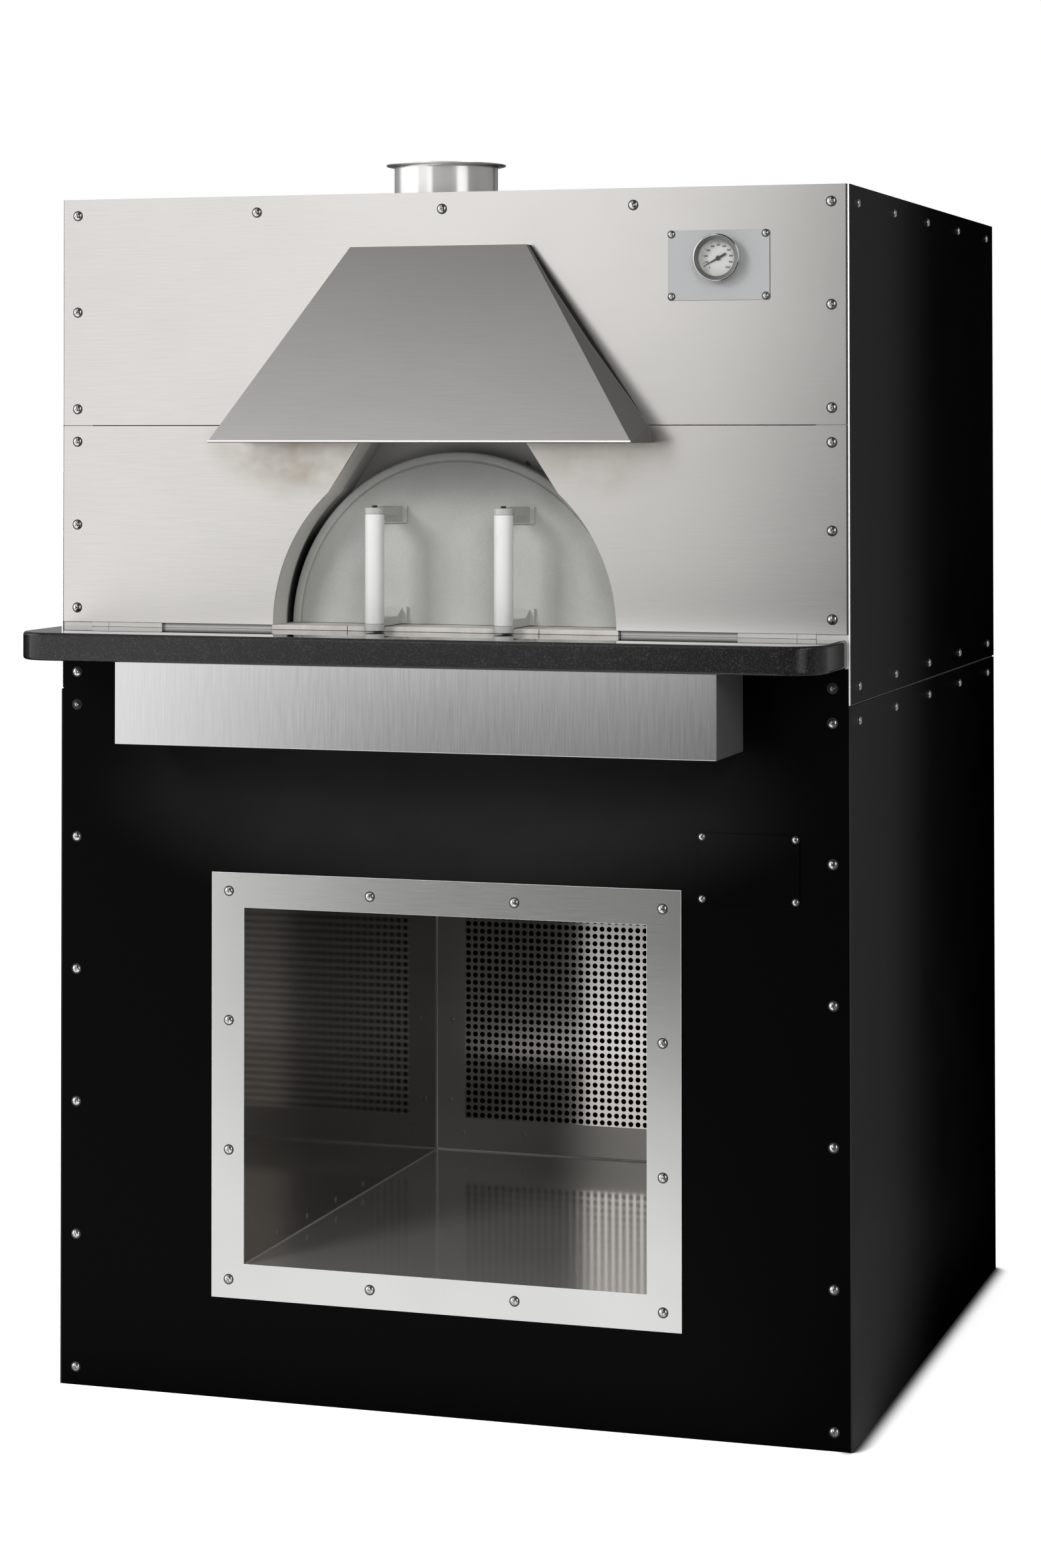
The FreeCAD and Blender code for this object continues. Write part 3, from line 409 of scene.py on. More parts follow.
def smoke_stain(shader, steel):
    patchy = remap(grain(shader, (16.0, 16.0, 20.0)), 0.35, 0.68, 0.3, 1.0)
    stronger_left = remap(place_on(shader, "X"), -0.05, 0.05, 0.85, 0.4)
    share = times(near(shader, (0.2, 1.215), (0.13, 0.085)), patchy, stronger_left)
    return tint(share, steel, (0.38, 0.325, 0.245))


lower_front_sheet = front_steel("lower_front_sheet", smoke_stain)

hood_sheet, shader, steel = brushed("hood_sheet", (0.75, 0.734, 0.716), 0.34, "X", contrast=0.05, cloud=0.1)
# The hood is darker towards its top.
darker_to_top = tint(remap(place_on(shader, "Z"), 1.21, 1.46, 0.0, 0.64), steel, (0.28, 0.271, 0.262))
# The last millimetres before the panel are painted near black, a painted shadow behind the hood's edge.
feed(shader, Base_Color=tint(remap(behind_front(shader), -0.006, -0.003, 0.0, 0.9), darker_to_top, (0.02, 0.02, 0.02)))

# The hood's sides are a darker copy of the hood steel, a painted shade; along their rear edge a bright line is a
# painted highlight and a near-black band is a painted shadow in the gap before the panel.
hood_cheek, shader, steel = brushed("hood_cheek", (0.21, 0.206, 0.2), 0.4, "Z", contrast=0.03, metallic=0.4)
height = place_on(shader, "Z")
gap = times(remap(height, 1.235, 1.335, 0.0, 0.018), remap(height, 1.41, 1.457, 1.0, 0.5))
past = plus(behind_front(shader), gap)
painted_edge_highlight = remap(calc("ABSOLUTE", past), 0.0006, 0.0016, 0.5, 0.0)
painted_gap_shadow = tint(remap(past, 0.0, 0.0012, 0.0, 0.95), steel, (0.008, 0.008, 0.008))
feed(shader, Base_Color=tint(painted_edge_highlight, painted_gap_shadow, (0.6, 0.59, 0.575)))

reveal_sheet, shader, steel = brushed("reveal_sheet", (0.74, 0.73, 0.7), 0.45, "Y", contrast=0.04, cloud=0.25,
                                      metallic=0.25)
# Deep inside, beside the door, the reveal is painted near black, a painted shade in the gap; less so towards the
# top.
painted_gap_shade = times(fade(behind_front(shader), 0.043, 0.052), fade(place_on(shader, "Z"), 1.08, 1.16, 1.0, 0.35))
feed(shader, Base_Color=tint(painted_gap_shade, steel, (0.012, 0.012, 0.012)))

mouth_sheet, shader, steel = brushed("mouth_sheet", (0.35, 0.344, 0.33), 0.5, "X", contrast=0.04, cloud=0.25,
                                     metallic=0.35)
specks = remap(grain(shader, 90.0, detail=1.0), 0.7, 0.76, 0.0, 0.8)
feed(shader, Base_Color=tint(specks, steel, (0.05, 0.05, 0.05)))
print("heat-stained sheet: 5 finishes")

# %% [markdown]
# ### Black coating, stone and the rest
# The cabinet is coated satin black: almost no diffuse colour, a weak sheen, and faint marks from handling. The
# front has a painted sheen under the mantle, a soft lighter patch, and the sides have a painted sheen that is
# lighter towards the front.
# The mantle is polished dark stone, whose speckle is a Voronoi pattern of small crystals under a smooth top.

# %% Black coating
BLACK = (0.001, 0.001, 0.0011)
black_coat, shader = new_finish("black_coat", BLACK, 0.0, 0.32, specular=0.042)
marks = remap(grain(shader, (7.0, 7.0, 9.0), detail=5.0, roughness=0.65), 0.5, 0.8)
feed(shader, Base_Color=tint(marks, BLACK, (0.004, 0.004, 0.0041)), Roughness=remap(marks, 0.0, 1.0, 0.3, 0.4))
relief(shader, grain(shader, 260.0, detail=2.0), 0.05, 0.0003)

base_coat, shader = new_finish("base_coat", BLACK, 0.0, 0.36, specular=0.042)
# A painted sheen under the mantle: a soft lighter patch that stands in for a reflection.
painted_sheen = times(near(shader, (0.0, 0.77), (0.5, 0.17)), remap(grain(shader, (6.0, 6.0, 9.0)), 0.3, 0.7, 0.7, 1.0))
feed(shader, Base_Color=tint(painted_sheen, BLACK, (0.015, 0.015, 0.0148)))
relief(shader, grain(shader, 260.0, detail=2.0), 0.05, 0.0003)

side_coat, shader = new_finish("side_coat", (0.004, 0.004, 0.0042), 0.0, 0.34, specular=0.025)
# A painted sheen: the side is lighter towards the front and near black at the rear.
painted_front_sheen = fade(behind_front(shader), 0.17, 0.56, 1.0, 0.0)
feed(shader, Base_Color=tint(painted_front_sheen, (0.0004, 0.0004, 0.0004), (0.021, 0.021, 0.0212)),
     Roughness=remap(grain(shader, (7.0, 7.0, 9.0), detail=4.0), 0.3, 0.7, 0.3, 0.4))

frame_coat = uneven_finish("frame_coat", (0.05, 0.05, 0.053), 0.0, 0.6, 40.0, 0.5, 0.7, specular=0.3)
print("coatings: 4 finishes")


# %% Stone, tile and blanket
def polished_stone(name, roughness, specular):
    finish, shader = new_finish(name, (0.012, 0.012, 0.0125), 0.0, roughness, specular)
    tree = shader.id_data
    place = add_node(tree, "ShaderNodeTexCoord").outputs["Object"]
    crystals = add_node(tree, "ShaderNodeTexVoronoi", Vector=place, Scale=900.0)
    drift = remap(grain(shader, (35.0, 35.0, 60.0), detail=4.0), 0.3, 0.7, 0.25, 1.0)
    flecks = times(remap(crystals.outputs["Color"], 0.62, 0.95), drift)
    feed(shader, Base_Color=tint(flecks, (0.009, 0.009, 0.0092), (0.045, 0.045, 0.043)),
         Roughness=remap(crystals.outputs["Distance"], 0.0, 0.8, roughness * 0.8, roughness * 1.3))
    return finish, shader


stone = polished_stone("stone", 0.13, 0.42)[0]
stone_top, shader = polished_stone("stone_top", 0.012, 0.9)
feed(shader, Coat_Weight=0.6, Coat_Roughness=0.02)

tile, shader = new_finish("tile", (0.6, 0.58, 0.55), 0.0, 0.75, specular=0.3)
sooty = remap(grain(shader, 30.0, detail=5.0), 0.4, 0.75, 0.0, 0.5)
feed(shader, Base_Color=tint(sooty, (0.62, 0.6, 0.57), (0.3, 0.28, 0.25)))
relief(shader, grain(shader, 300.0, detail=4.0), 0.3, 0.0006)

blanket, shader = new_finish("blanket", (0.8, 0.79, 0.76), 0.0, 0.95, specular=0.1)
relief(shader, grain(shader, 120.0, detail=5.0), 0.6, 0.002)
print("stone, tile and blanket are ready")

# %% [markdown]
# ### Cast metal, grips and the dial
# The door and its brackets are cast in light metal. Castings are never even: the skin is mottled where the
# melt cooled at different speeds, so both colour and roughness wander over a few centimetres.

# %% Cast metal and grips
cast_metal, shader = new_finish("cast_metal", (0.4, 0.405, 0.385), 0.2, 0.52)
mottle = remap(grain(shader, (9.0, 9.0, 7.0), detail=5.0, roughness=0.6), 0.3, 0.7)
sand = grain(shader, 700.0, detail=2.0)
skin = tint(mottle, (0.48, 0.486, 0.462), (0.575, 0.582, 0.554))
# Towards the top the metal is painted darker: a painted shadow under the hood, together with smoke.
skin = tint(fade(place_on(shader, "Z"), 1.12, 1.21, 0.0, 0.45), skin, (0.2, 0.2, 0.19))
feed(shader, Base_Color=tint(remap(sand, 0.3, 0.7, 0.0, 0.22), skin, (0.25, 0.255, 0.245)),
     Roughness=remap(mottle, 0.0, 1.0, 0.55, 0.45))
relief(shader, sand, 0.25, 0.0005)

grip_white, shader = new_finish("grip_white", (0.8, 0.8, 0.78), 0.0, 0.42, specular=0.45)
scuffs = remap(grain(shader, (60.0, 60.0, 18.0), detail=6.0, roughness=0.7), 0.58, 0.78, 0.0, 0.35)
feed(shader, Base_Color=tint(scuffs, (0.7, 0.7, 0.685), (0.45, 0.44, 0.41)),
     Roughness=remap(scuffs, 0.0, 0.35, 0.38, 0.6))
print("cast metal and grips are ready")

# %% Screws and dial
screw_metal = uneven_finish("screw_metal", (0.74, 0.74, 0.73), 1.0, 0.15, 900.0, 0.1, 0.2)
screw_dark = uneven_finish("screw_dark", (0.03, 0.03, 0.031), 0.4, 0.4, 900.0, 0.25, 0.45)
gauge_bright = uneven_finish("gauge_bright", (0.72, 0.715, 0.7), 1.0, 0.12, 400.0, 0.08, 0.2)
gauge_ring = uneven_finish("gauge_ring", (0.16, 0.16, 0.157), 0.6, 0.3, 400.0, 0.25, 0.4)
gauge_ink = uneven_finish("gauge_ink", (0.012, 0.012, 0.012), 0.0, 0.45, 500.0, 0.4, 0.55)
gauge_face, shader = new_finish("gauge_face", (0.5, 0.5, 0.475), 0.0, 0.5)
feed(shader, Base_Color=tint(remap(grain(shader, 80.0), 0.4, 0.7, 0.0, 0.2), (0.5, 0.5, 0.475), (0.41, 0.4, 0.38)))
gauge_glass, shader = new_finish("gauge_glass", (0.85, 0.9, 0.9), 0.0, 0.03, specular=0.25)
feed(shader, Alpha=0.02)
print("screws and dial: 7 finishes")

# %% [markdown]
# ## Sheets with eased edges
# A sheared and folded sheet has no knife edges: each fold has a small radius that catches the light. The CAD
# sheets are sharp, so each is copied, its loose triangles are merged into whole faces, and a Bevel modifier
# rounds the edges. Hardened normals keep the wide faces perfectly flat in the light.


# %% Helpers for pieces
def body_of(node):
    return nodes[node]["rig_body"]


def adopt(piece, *stands_for):
    """Let a finished piece ride and stand for its CAD nodes, which are hidden."""
    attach(piece, body_of(stands_for[0]))
    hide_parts(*stands_for)
    return piece


def show(name, data, finish=None):
    piece = bpy.data.objects.new(name, data)
    scene.collection.objects.link(piece)
    if finish is not None:
        data.materials.clear()
        data.materials.append(finish)
    return piece


def smooth(mesh, sharp_deg=None):
    """Shade a mesh smooth; edges past the angle, if one is given, stay sharp."""
    for face in mesh.polygons:
        face.use_smooth = True
    if sharp_deg is not None:
        mesh.set_sharp_from_angle(angle=math.radians(sharp_deg))
    return mesh


def mesh_of(work, name):
    """Turn a finished bmesh into a mesh."""
    mesh = bpy.data.meshes.new(name)
    work.to_mesh(mesh)
    work.free()
    return mesh


def add_bar(work, low, high):
    """Add a bar between two corners to a bmesh."""
    middle = Vector([(first + last) / 2 for first, last in zip(low, high)])
    size = Vector([last - first for first, last in zip(low, high)])
    bmesh.ops.create_cube(work, size=1.0, matrix=Matrix.LocRotScale(middle, None, size))


def evaluated_mesh(piece):
    graph = bpy.context.evaluated_depsgraph_get()
    graph.update()
    return bpy.data.meshes.new_from_object(piece.evaluated_get(graph))


def settle(piece):
    """Apply the modifiers by taking the evaluated mesh, and remove them."""
    mesh = evaluated_mesh(piece)
    piece.modifiers.clear()
    piece.data = mesh
    return piece


def ease(piece, width, segments=2):
    smooth(piece.data)
    bevel = piece.modifiers.new("eased", "BEVEL")
    bevel.width, bevel.segments = width, segments
    bevel.limit_method = "ANGLE"
    bevel.angle_limit = math.radians(25)
    bevel.harden_normals = True
    return settle(piece)


def merged(node):
    """A bmesh of a node with its loose triangles joined."""
    work = bmesh.new()
    work.from_mesh(nodes[node].data)
    bmesh.ops.remove_doubles(work, verts=work.verts, dist=2e-5)
    return work


def whole_faces(node):
    """A copy of a node's mesh with its triangles merged into whole faces."""
    work = merged(node)
    bmesh.ops.dissolve_limit(work, angle_limit=math.radians(0.5), verts=work.verts, edges=work.edges)
    work.verts.index_update()
    mesh = bpy.data.meshes.new(node + "_whole")
    mesh.from_pydata([vert.co for vert in work.verts], [],
                     [[vert.index for vert in face.verts] for face in work.faces])
    work.free()
    return mesh


print("helpers for pieces are ready")

# %% Eased copies of the sheets
sheets = {
    "upper_front_panel": (front_sheet, 0.3), "left_lower_front_panel": (lower_front_sheet, 0.3),
    "right_lower_front_panel": (lower_front_sheet, 0.3), "hood": (hood_sheet, 0.9),
    "mantle_support_box": (box_sheet, 0.9), "trim_frame": (trim_sheet, 1.2), "access_plate": (base_coat, 0.4),
    "thermometer_plate": (plate_sheet, 0.4), "base_front_panel": (base_coat, 0.4),
    "left_lower_side_panel": (side_coat, 0.4), "right_lower_side_panel": (side_coat, 0.4),
    "left_upper_side_panel": (side_coat, 0.4), "right_upper_side_panel": (side_coat, 0.4),
    "upper_rear_panel": (black_coat, 0.4), "lower_rear_panel": (black_coat, 0.4),
    "roof_panel": (black_coat, 0.4), "left_reveal": (reveal_sheet, 0.3), "right_reveal": (reveal_sheet, 0.3),
    "mouth_plate": (mouth_sheet, 0.3), "threshold_tiles": (tile, 0.8), "panel_shims": (bare_frame, 0.4),
}
for node, (finish, width_mm) in sheets.items():
    adopt(ease(show(node + "_eased", whole_faces(node), finish), width_mm * MM), node)
print("eased sheets:", len(sheets))

# %% [markdown]
# The hood was folded by hand, and the upright corners of its sides lean in a little towards the middle, most
# of all at the fold, so its points are drawn in.

# %% Hood corners
DRAWN_IN = 6.5 * MM
FOLD_HEIGHT = 21.5 * MM
LESS_BELOW = 0.65
low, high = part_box("hood")
fold_z = low.z + FOLD_HEIGHT
for vert in bpy.data.objects["hood_eased"].data.vertices:
    above = (high.z - vert.co.z) / (high.z - fold_z)
    below = 1 - LESS_BELOW * (fold_z - vert.co.z) / (fold_z - low.z)
    drawn = DRAWN_IN * min(above, below) * (vert.co.y - low.y) / (high.y - low.y)
    vert.co.x -= math.copysign(min(drawn, abs(vert.co.x) / 8), vert.co.x)
print("hood corners drawn in by up to", round(DRAWN_IN * 1000, 1), "mm")

# %% [markdown]
# The front edges of the two upper side sheets were trimmed after coating, so bare steel shows as a bright
# line down each side of the front, made brighter still as a painted highlight. The rounded edges of the trim
# get the same bright finish as a painted highlight: they are the only faces about a millimetre wide, so a face's
# width finds them. The sides of the hood and the ends of the box turn away from the lamps and get darker copies
# of their steel, a painted shade.


# %% Bare edges
def second_finish(name, finish, chosen):
    """Give the chosen faces of a piece a second finish."""
    mesh = bpy.data.objects[name].data
    mesh.materials.append(finish)
    picked = [face for face in mesh.polygons if chosen(mesh, face)]
    for face in picked:
        face.material_index = len(mesh.materials) - 1
    print(name + ":", len(picked), "faces of", finish.name)


def narrow(mesh, face):
    corners = [mesh.vertices[index].co for index in face.vertices]
    around = sum((corner - corners[place - 1]).length for place, corner in enumerate(corners))
    return 2 * face.area / around < 1.2 * MM


for side in ("left", "right"):
    second_finish(side + "_upper_side_panel_eased", bare_edge, lambda mesh, face: face.normal.y < -0.7)
second_finish("hood_eased", hood_cheek, lambda mesh, face: abs(face.normal.x) > 0.6)
second_finish("trim_frame_eased", bare_edge, narrow)
second_finish("mantle_support_box_eased", box_end, lambda mesh, face: abs(face.normal.x) > 0.7)

# %% [markdown]
# The hood's lower front edge is closed by a rolled hem, a bright bead with a dark line of shadow under it. Two
# thin bars in front of the edge show it: the upper one's bright finish is a painted highlight, and the lower one
# is painted black as a painted shadow.

# %% Hood hem
low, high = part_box("hood")
work = bmesh.new()
for lift, tall in ((1.0 * MM, 1.9 * MM), (0.0, 1.0 * MM)):
    add_bar(work, (low.x + 1 * MM, low.y - 0.4 * MM, low.z + lift),
            (high.x - 1 * MM, low.y + 1.0 * MM, low.z + lift + tall))
hem = show("hood_hem", mesh_of(work, "hood_hem"), bare_edge)
# The lower bar is painted black, a painted shadow under the bead.
second_finish("hood_hem", gauge_ink, lambda mesh, face: face.center.z < low.z + 0.95 * MM)
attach(hem, body_of("hood"))
print("hood hem:", len(hem.data.polygons), "faces")

# %% [markdown]
# ## The stone mantle
# The mantle is one slab: a shelf with two rounded front corners and a tongue that runs in under the front
# sheets. The outline is drawn once, extruded, and its edges are polished round with a wider bevel.


# %% Stone mantle
def prism(one_end, other_end):
    """A closed solid between two equal outlines."""
    work = bmesh.new()
    one, other = [[work.verts.new(point) for point in end] for end in (one_end, other_end)]
    work.faces.new(one)
    work.faces.new(list(reversed(other)))
    for first in range(len(one)):
        after = (first + 1) % len(one)
        work.faces.new((one[after], one[first], other[first], other[after]))
    bmesh.ops.recalc_face_normals(work, faces=work.faces)
    return mesh_of(work, "prism")


def arc(centre, radius, start_deg, end_deg, steps):
    turns = [math.radians(start_deg + (end_deg - start_deg) * step / steps) for step in range(steps + 1)]
    return [(centre[0] + radius * math.cos(turn), centre[1] + radius * math.sin(turn)) for turn in turns]


CORNER_RADIUS = 50 * MM
POLISHED_EDGE = 4 * MM
low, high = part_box("mantle_slab")
tongue_half = high.x - 47.5 * MM
shelf_back = front_y - 1 * MM
right_end = high.x - 5 * MM
outline = arc((low.x + CORNER_RADIUS, low.y + CORNER_RADIUS), CORNER_RADIUS, 180, 270, 16)
outline += arc((right_end - CORNER_RADIUS, low.y + CORNER_RADIUS), CORNER_RADIUS, 270, 360, 16)
outline += [(right_end, shelf_back), (tongue_half, shelf_back), (tongue_half, high.y),
            (-tongue_half, high.y), (-tongue_half, shelf_back), (low.x, shelf_back)]
slab = prism(*[[(x, y, level) for x, y in outline] for level in (high.z, low.z)])
mantle = adopt(ease(show("stone_mantle", slab, stone), POLISHED_EDGE, 4), "mantle_slab")
mantle.data.materials.append(stone_top)
for face in mantle.data.polygons:
    face.material_index = int(face.normal.z > 0.9)
print("stone mantle:", len(mantle.data.polygons), "faces")

# %% [markdown]
# ## Turned pieces
# Grips, their screws, the flue collar and the dial's bezel are all turned: a profile of radius and height is
# spun about an axis. Writing the spin by hand keeps the seam closed and the faces pointing outwards.

# %% Turning a profile
UP, FORWARD = (0, 0, 1), (0, -1, 0)


def turned(profile, centre, axis, steps):
    """Spin a closed loop of (radius, height) points about an axis; the loop runs with the metal on its left."""
    aim = Vector(axis).to_track_quat("Z", "Y").to_matrix()
    work = bmesh.new()
    rings = []
    for step in range(steps):
        turn = 2 * math.pi * step / steps
        spokes = [Vector((radius * math.cos(turn), radius * math.sin(turn), height)) for radius, height in profile]
        rings.append([work.verts.new(Vector(centre) + aim @ spoke) for spoke in spokes])
    for here, after in zip(rings, rings[1:] + rings[:1]):
        for first in range(len(profile)):
            second = (first + 1) % len(profile)
            if max(profile[first][0], profile[second][0]) >= 1e-9:
                work.faces.new((here[first], after[first], after[second], here[second]))
    bmesh.ops.remove_doubles(work, verts=work.verts, dist=1e-7)
    bmesh.ops.recalc_face_normals(work, faces=work.faces)
    return smooth(mesh_of(work, "turned"), 38)


def rounded(corner, radius, start_deg):
    """Points of a quarter turn round a corner of a profile."""
    return arc(corner, radius, start_deg, start_deg + 90, 4)


print("turning is ready")

# %% Flue collar
BORE = 64 * MM
WALL = 66 * MM
LIP = 1.2 * MM
FILLET = 2.2 * MM
FLANGE = 2.5 * MM
low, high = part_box("flue_collar")
rim, height = (high.x - low.x) / 2, high.z - low.z
profile = [(BORE, 0.0), (WALL, 0.0), (WALL, height - 6 * MM)]
profile += [(WALL + FILLET - FILLET * math.cos(math.radians(turn)),
             height - FLANGE - FILLET + FILLET * math.sin(math.radians(turn))) for turn in (30, 60, 90)]
profile += [(rim - LIP, height - FLANGE)] + rounded((rim - LIP, height - LIP), LIP, -60)[1:]
profile += [(BORE + 1.5 * MM, height), (BORE, height - 1.5 * MM)]
centre = ((low.x + high.x) / 2, (low.y + high.y) / 2, low.z)
collar = adopt(show("flue_collar_turned", turned(profile, centre, UP, 96), flue_sheet), "flue_collar")
print("flue collar:", len(collar.data.polygons), "faces")

# %% Grips and their screws
GRIP_EASE = 1.5 * MM
GRIP_HOLE = 2.7 * MM
ROD, HEAD, HEAD_HEIGHT = 2.5 * MM, 3.5 * MM, 2.6 * MM
for side in ("left", "right"):
    low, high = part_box(side + "_grip")
    radius, length = (high.x - low.x) / 2, high.z - low.z
    profile = [(GRIP_HOLE, 0.0)] + rounded((radius - GRIP_EASE, GRIP_EASE), GRIP_EASE, -90)
    profile += [(radius, length * share) for share in (0.25, 0.5, 0.75)]
    profile += rounded((radius - GRIP_EASE, length - GRIP_EASE), GRIP_EASE, 0) + [(GRIP_HOLE, length)]
    centre = ((low.x + high.x) / 2, (low.y + high.y) / 2, low.z)
    adopt(show(side + "_grip_turned", turned(profile, centre, UP, 48), grip_white), side + "_grip")

low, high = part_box("handle_rods")
shank = high.z - low.z - HEAD_HEIGHT
profile = [(0.0, 0.0), (ROD, 0.0), (ROD, shank), (HEAD, shank)]
profile += rounded((HEAD - 1.0 * MM, shank + HEAD_HEIGHT - 1.0 * MM), 1.0 * MM, 0)
profile += [(1.5 * MM, shank + HEAD_HEIGHT), (1.4 * MM, shank + 0.8 * MM), (0.0, shank + 0.8 * MM)]
work = bmesh.new()
for x in (low.x + HEAD, high.x - HEAD):
    work.from_mesh(turned(profile, (x, (low.y + high.y) / 2, low.z), UP, 32))
adopt(show("grip_screws", mesh_of(work, "grip_screws"), screw_dark), "handle_rods")
print("grips and grip screws are turned")

# %% [markdown]
# ## The cast door
# The door is a half disc with a raised rim and a fine groove inside the rim. A cut through it from the middle
# to the edge is the same all round, so that cut is swept along the arch. Each ring stops on the door's flat
# foot, which lies a little above the arch's centre.

# %% Cast door
RIM_WIDTH = 10.5 * MM
ARCH_DROP = 5.7 * MM
ARCH_STEPS = 96
low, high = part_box("door_panel")
arch_radius = high.z - low.z + ARCH_DROP
arch_z = low.z - ARCH_DROP
face_y, back_y = low.y, high.y
field_y = face_y + 3 * MM
inner = arch_radius - RIM_WIDTH
section = [(0.03, field_y), (0.09, field_y), (0.15, field_y), (inner - 2.4 * MM, field_y),
           (inner - 2.1 * MM, field_y + 1.6 * MM), (inner - 0.7 * MM, field_y + 1.6 * MM),
           (inner - 0.3 * MM, field_y - 0.4 * MM), (inner + 0.2 * MM, face_y + 0.9 * MM),
           (inner + 1.2 * MM, face_y + 0.1 * MM), (inner + 3.0 * MM, face_y),
           (arch_radius - 2.6 * MM, face_y), (arch_radius - 0.9 * MM, face_y + 0.5 * MM),
           (arch_radius - 0.2 * MM, face_y + 1.6 * MM), (arch_radius, face_y + 3.2 * MM),
           (arch_radius, back_y - 1.5 * MM), (arch_radius - 1.5 * MM, back_y), (0.15, back_y), (0.03, back_y)]
work = bmesh.new()
rows = []
for step in range(ARCH_STEPS + 1):
    row = []
    for radius, y in section:
        start = math.asin(ARCH_DROP / radius)
        turn = start + (math.pi - 2 * start) * step / ARCH_STEPS
        row.append(work.verts.new((radius * math.cos(turn), y, arch_z + radius * math.sin(turn))))
    rows.append(row)
for here, after in zip(rows, rows[1:]):
    for first in range(len(section) - 1):
        work.faces.new((here[first], after[first], after[first + 1], here[first + 1]))
work.faces.new([row[0] for row in rows])
work.faces.new([row[-1] for row in reversed(rows)])
work.faces.new(rows[0] + rows[-1][::-1])
bmesh.ops.recalc_face_normals(work, faces=work.faces)
door = adopt(show("cast_door", smooth(mesh_of(work, "cast_door"), 50), cast_metal), "door_panel")
print("cast door:", len(door.data.polygons), "faces")

# %% [markdown]
# ## Handle brackets
# Each bracket is one casting: a round eye that takes the grip's screw, a wedge of an arm, and a pad on the
# door. Three simple solids are joined with a Boolean and the sharp joins are rounded with a bevel, as the
# pattern maker would round them with wax.

# %% Handle brackets
EYE_RADIUS, EYE_THICK = 12.5 * MM, 8 * MM
ARM_HALF, PAD_HALF, PAD_THICK = 11 * MM, 17 * MM, 5 * MM


def wedge(side, middle, half):
    """A prism with a side view of y, z points, as wide as twice the half."""
    return prism(*[[(x, y, z) for y, z in side] for x in (middle - half, middle + half)])


def bracket_solids(node, up):
    """Eye, arm and pad of one bracket as closed meshes; up is the side on which the grip stands."""
    low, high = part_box(node)
    x, eye_y = (low.x + high.x) / 2, low.y + EYE_RADIUS
    outer, tip = (low.z, high.z) if up > 0 else (high.z, low.z)
    root = tip - up * 21 * MM
    crown, neck = root + up * 10 * MM, outer + up * EYE_THICK
    shoulder = tip - up * 0.8 * MM
    pad_y, toe_y = high.y - PAD_THICK, eye_y + 13.25 * MM
    eye = turned([(0.0, 0.0), (EYE_RADIUS, 0.0), (EYE_RADIUS, EYE_THICK), (0.0, EYE_THICK)],
                 (x, eye_y, min(outer, neck)), UP, 40)
    side = [(eye_y, root), (high.y - 0.5 * MM, root), (high.y - 0.5 * MM, shoulder)]
    for share in (0.0, 0.25, 0.5, 0.75, 1.0):
        curve = (1 - share) ** 2
        side.append((pad_y - 18 * MM * (1 - curve), crown + (shoulder - crown) * curve))
    side += [(toe_y, crown), (toe_y, neck), (eye_y, neck)]
    pad = [(pad_y, root), (high.y, root), (high.y, tip), (pad_y, tip)]
    return eye, wedge(side, x, ARM_HALF), wedge(pad, x, PAD_HALF)


for level, up in (("upper", -1), ("lower", 1)):
    for side in ("left", "right"):
        node = f"{level}_{side}_bracket"
        eye, *others = bracket_solids(node, up)
        piece = show(node + "_cast", eye, cast_metal)
        for other in others:
            helper = show("helper", other)
            union = piece.modifiers.new("join", "BOOLEAN")
            union.operation = "UNION"
            union.object = helper
            settle(piece)
            bpy.data.objects.remove(helper)
        piece.data.materials.clear()
        piece.data.materials.append(cast_metal)
        adopt(ease(piece, 0.9 * MM), node)
print("handle brackets: 4 castings")

# %% [markdown]
# ## Screws by Geometry Nodes
# Nearly ninety button-head screws hold the sheets. Modelling one and copying it by hand would work, but a
# Geometry Nodes tree does it in one go: it builds a single head, sinks a cross recess into it, sets it on a thin
# dark disc that is a painted shadow round the head, and puts an instance on every point. The points come from
# the CAD screws, one at each head.


# %% A tree with named inputs
def new_tree(name, **sizes):
    """A Geometry Nodes tree with a geometry in and out and named number inputs."""
    tree = bpy.data.node_groups.new(name, "GeometryNodeTree")
    tree.interface.new_socket("Geometry", in_out="INPUT", socket_type="NodeSocketGeometry")
    for label, value in sizes.items():
        kind = "NodeSocketInt" if isinstance(value, int) else "NodeSocketFloat"
        tree.interface.new_socket(label.replace("_", " "), in_out="INPUT", socket_type=kind).default_value = value
    tree.interface.new_socket("Finish", in_out="INPUT", socket_type="NodeSocketMaterial")
    tree.interface.new_socket("Geometry", in_out="OUTPUT", socket_type="NodeSocketGeometry")
    return tree, add_node(tree, "NodeGroupInput").outputs


def join(tree, *parts):
    node = add_node(tree, "GeometryNodeJoinGeometry")
    for part in parts:
        feed(node, Geometry=part)
    return node


def finish_tree(tree, given, instances):
    """Realize the instances and set the finish, because the export keeps only real meshes."""
    real = add_node(tree, "GeometryNodeRealizeInstances", Geometry=instances)
    coat = add_node(tree, "GeometryNodeSetMaterial", Geometry=real, Material=given["Finish"])
    add_node(tree, "NodeGroupOutput", Geometry=coat)


def grow(name, seed_mesh, tree, finish, **sizes):
    """Run a tree on a mesh and keep the result as a plain mesh."""
    piece = show(name, seed_mesh)
    runner = piece.modifiers.new(tree.name, "NODES")
    runner.node_group = tree
    values = dict(sizes, Finish=finish)
    for item in tree.interface.items_tree:
        label = item.name.replace(" ", "_")
        if item.in_out == "INPUT" and label in values:
            runner[item.identifier] = values[label]
    return settle(piece)


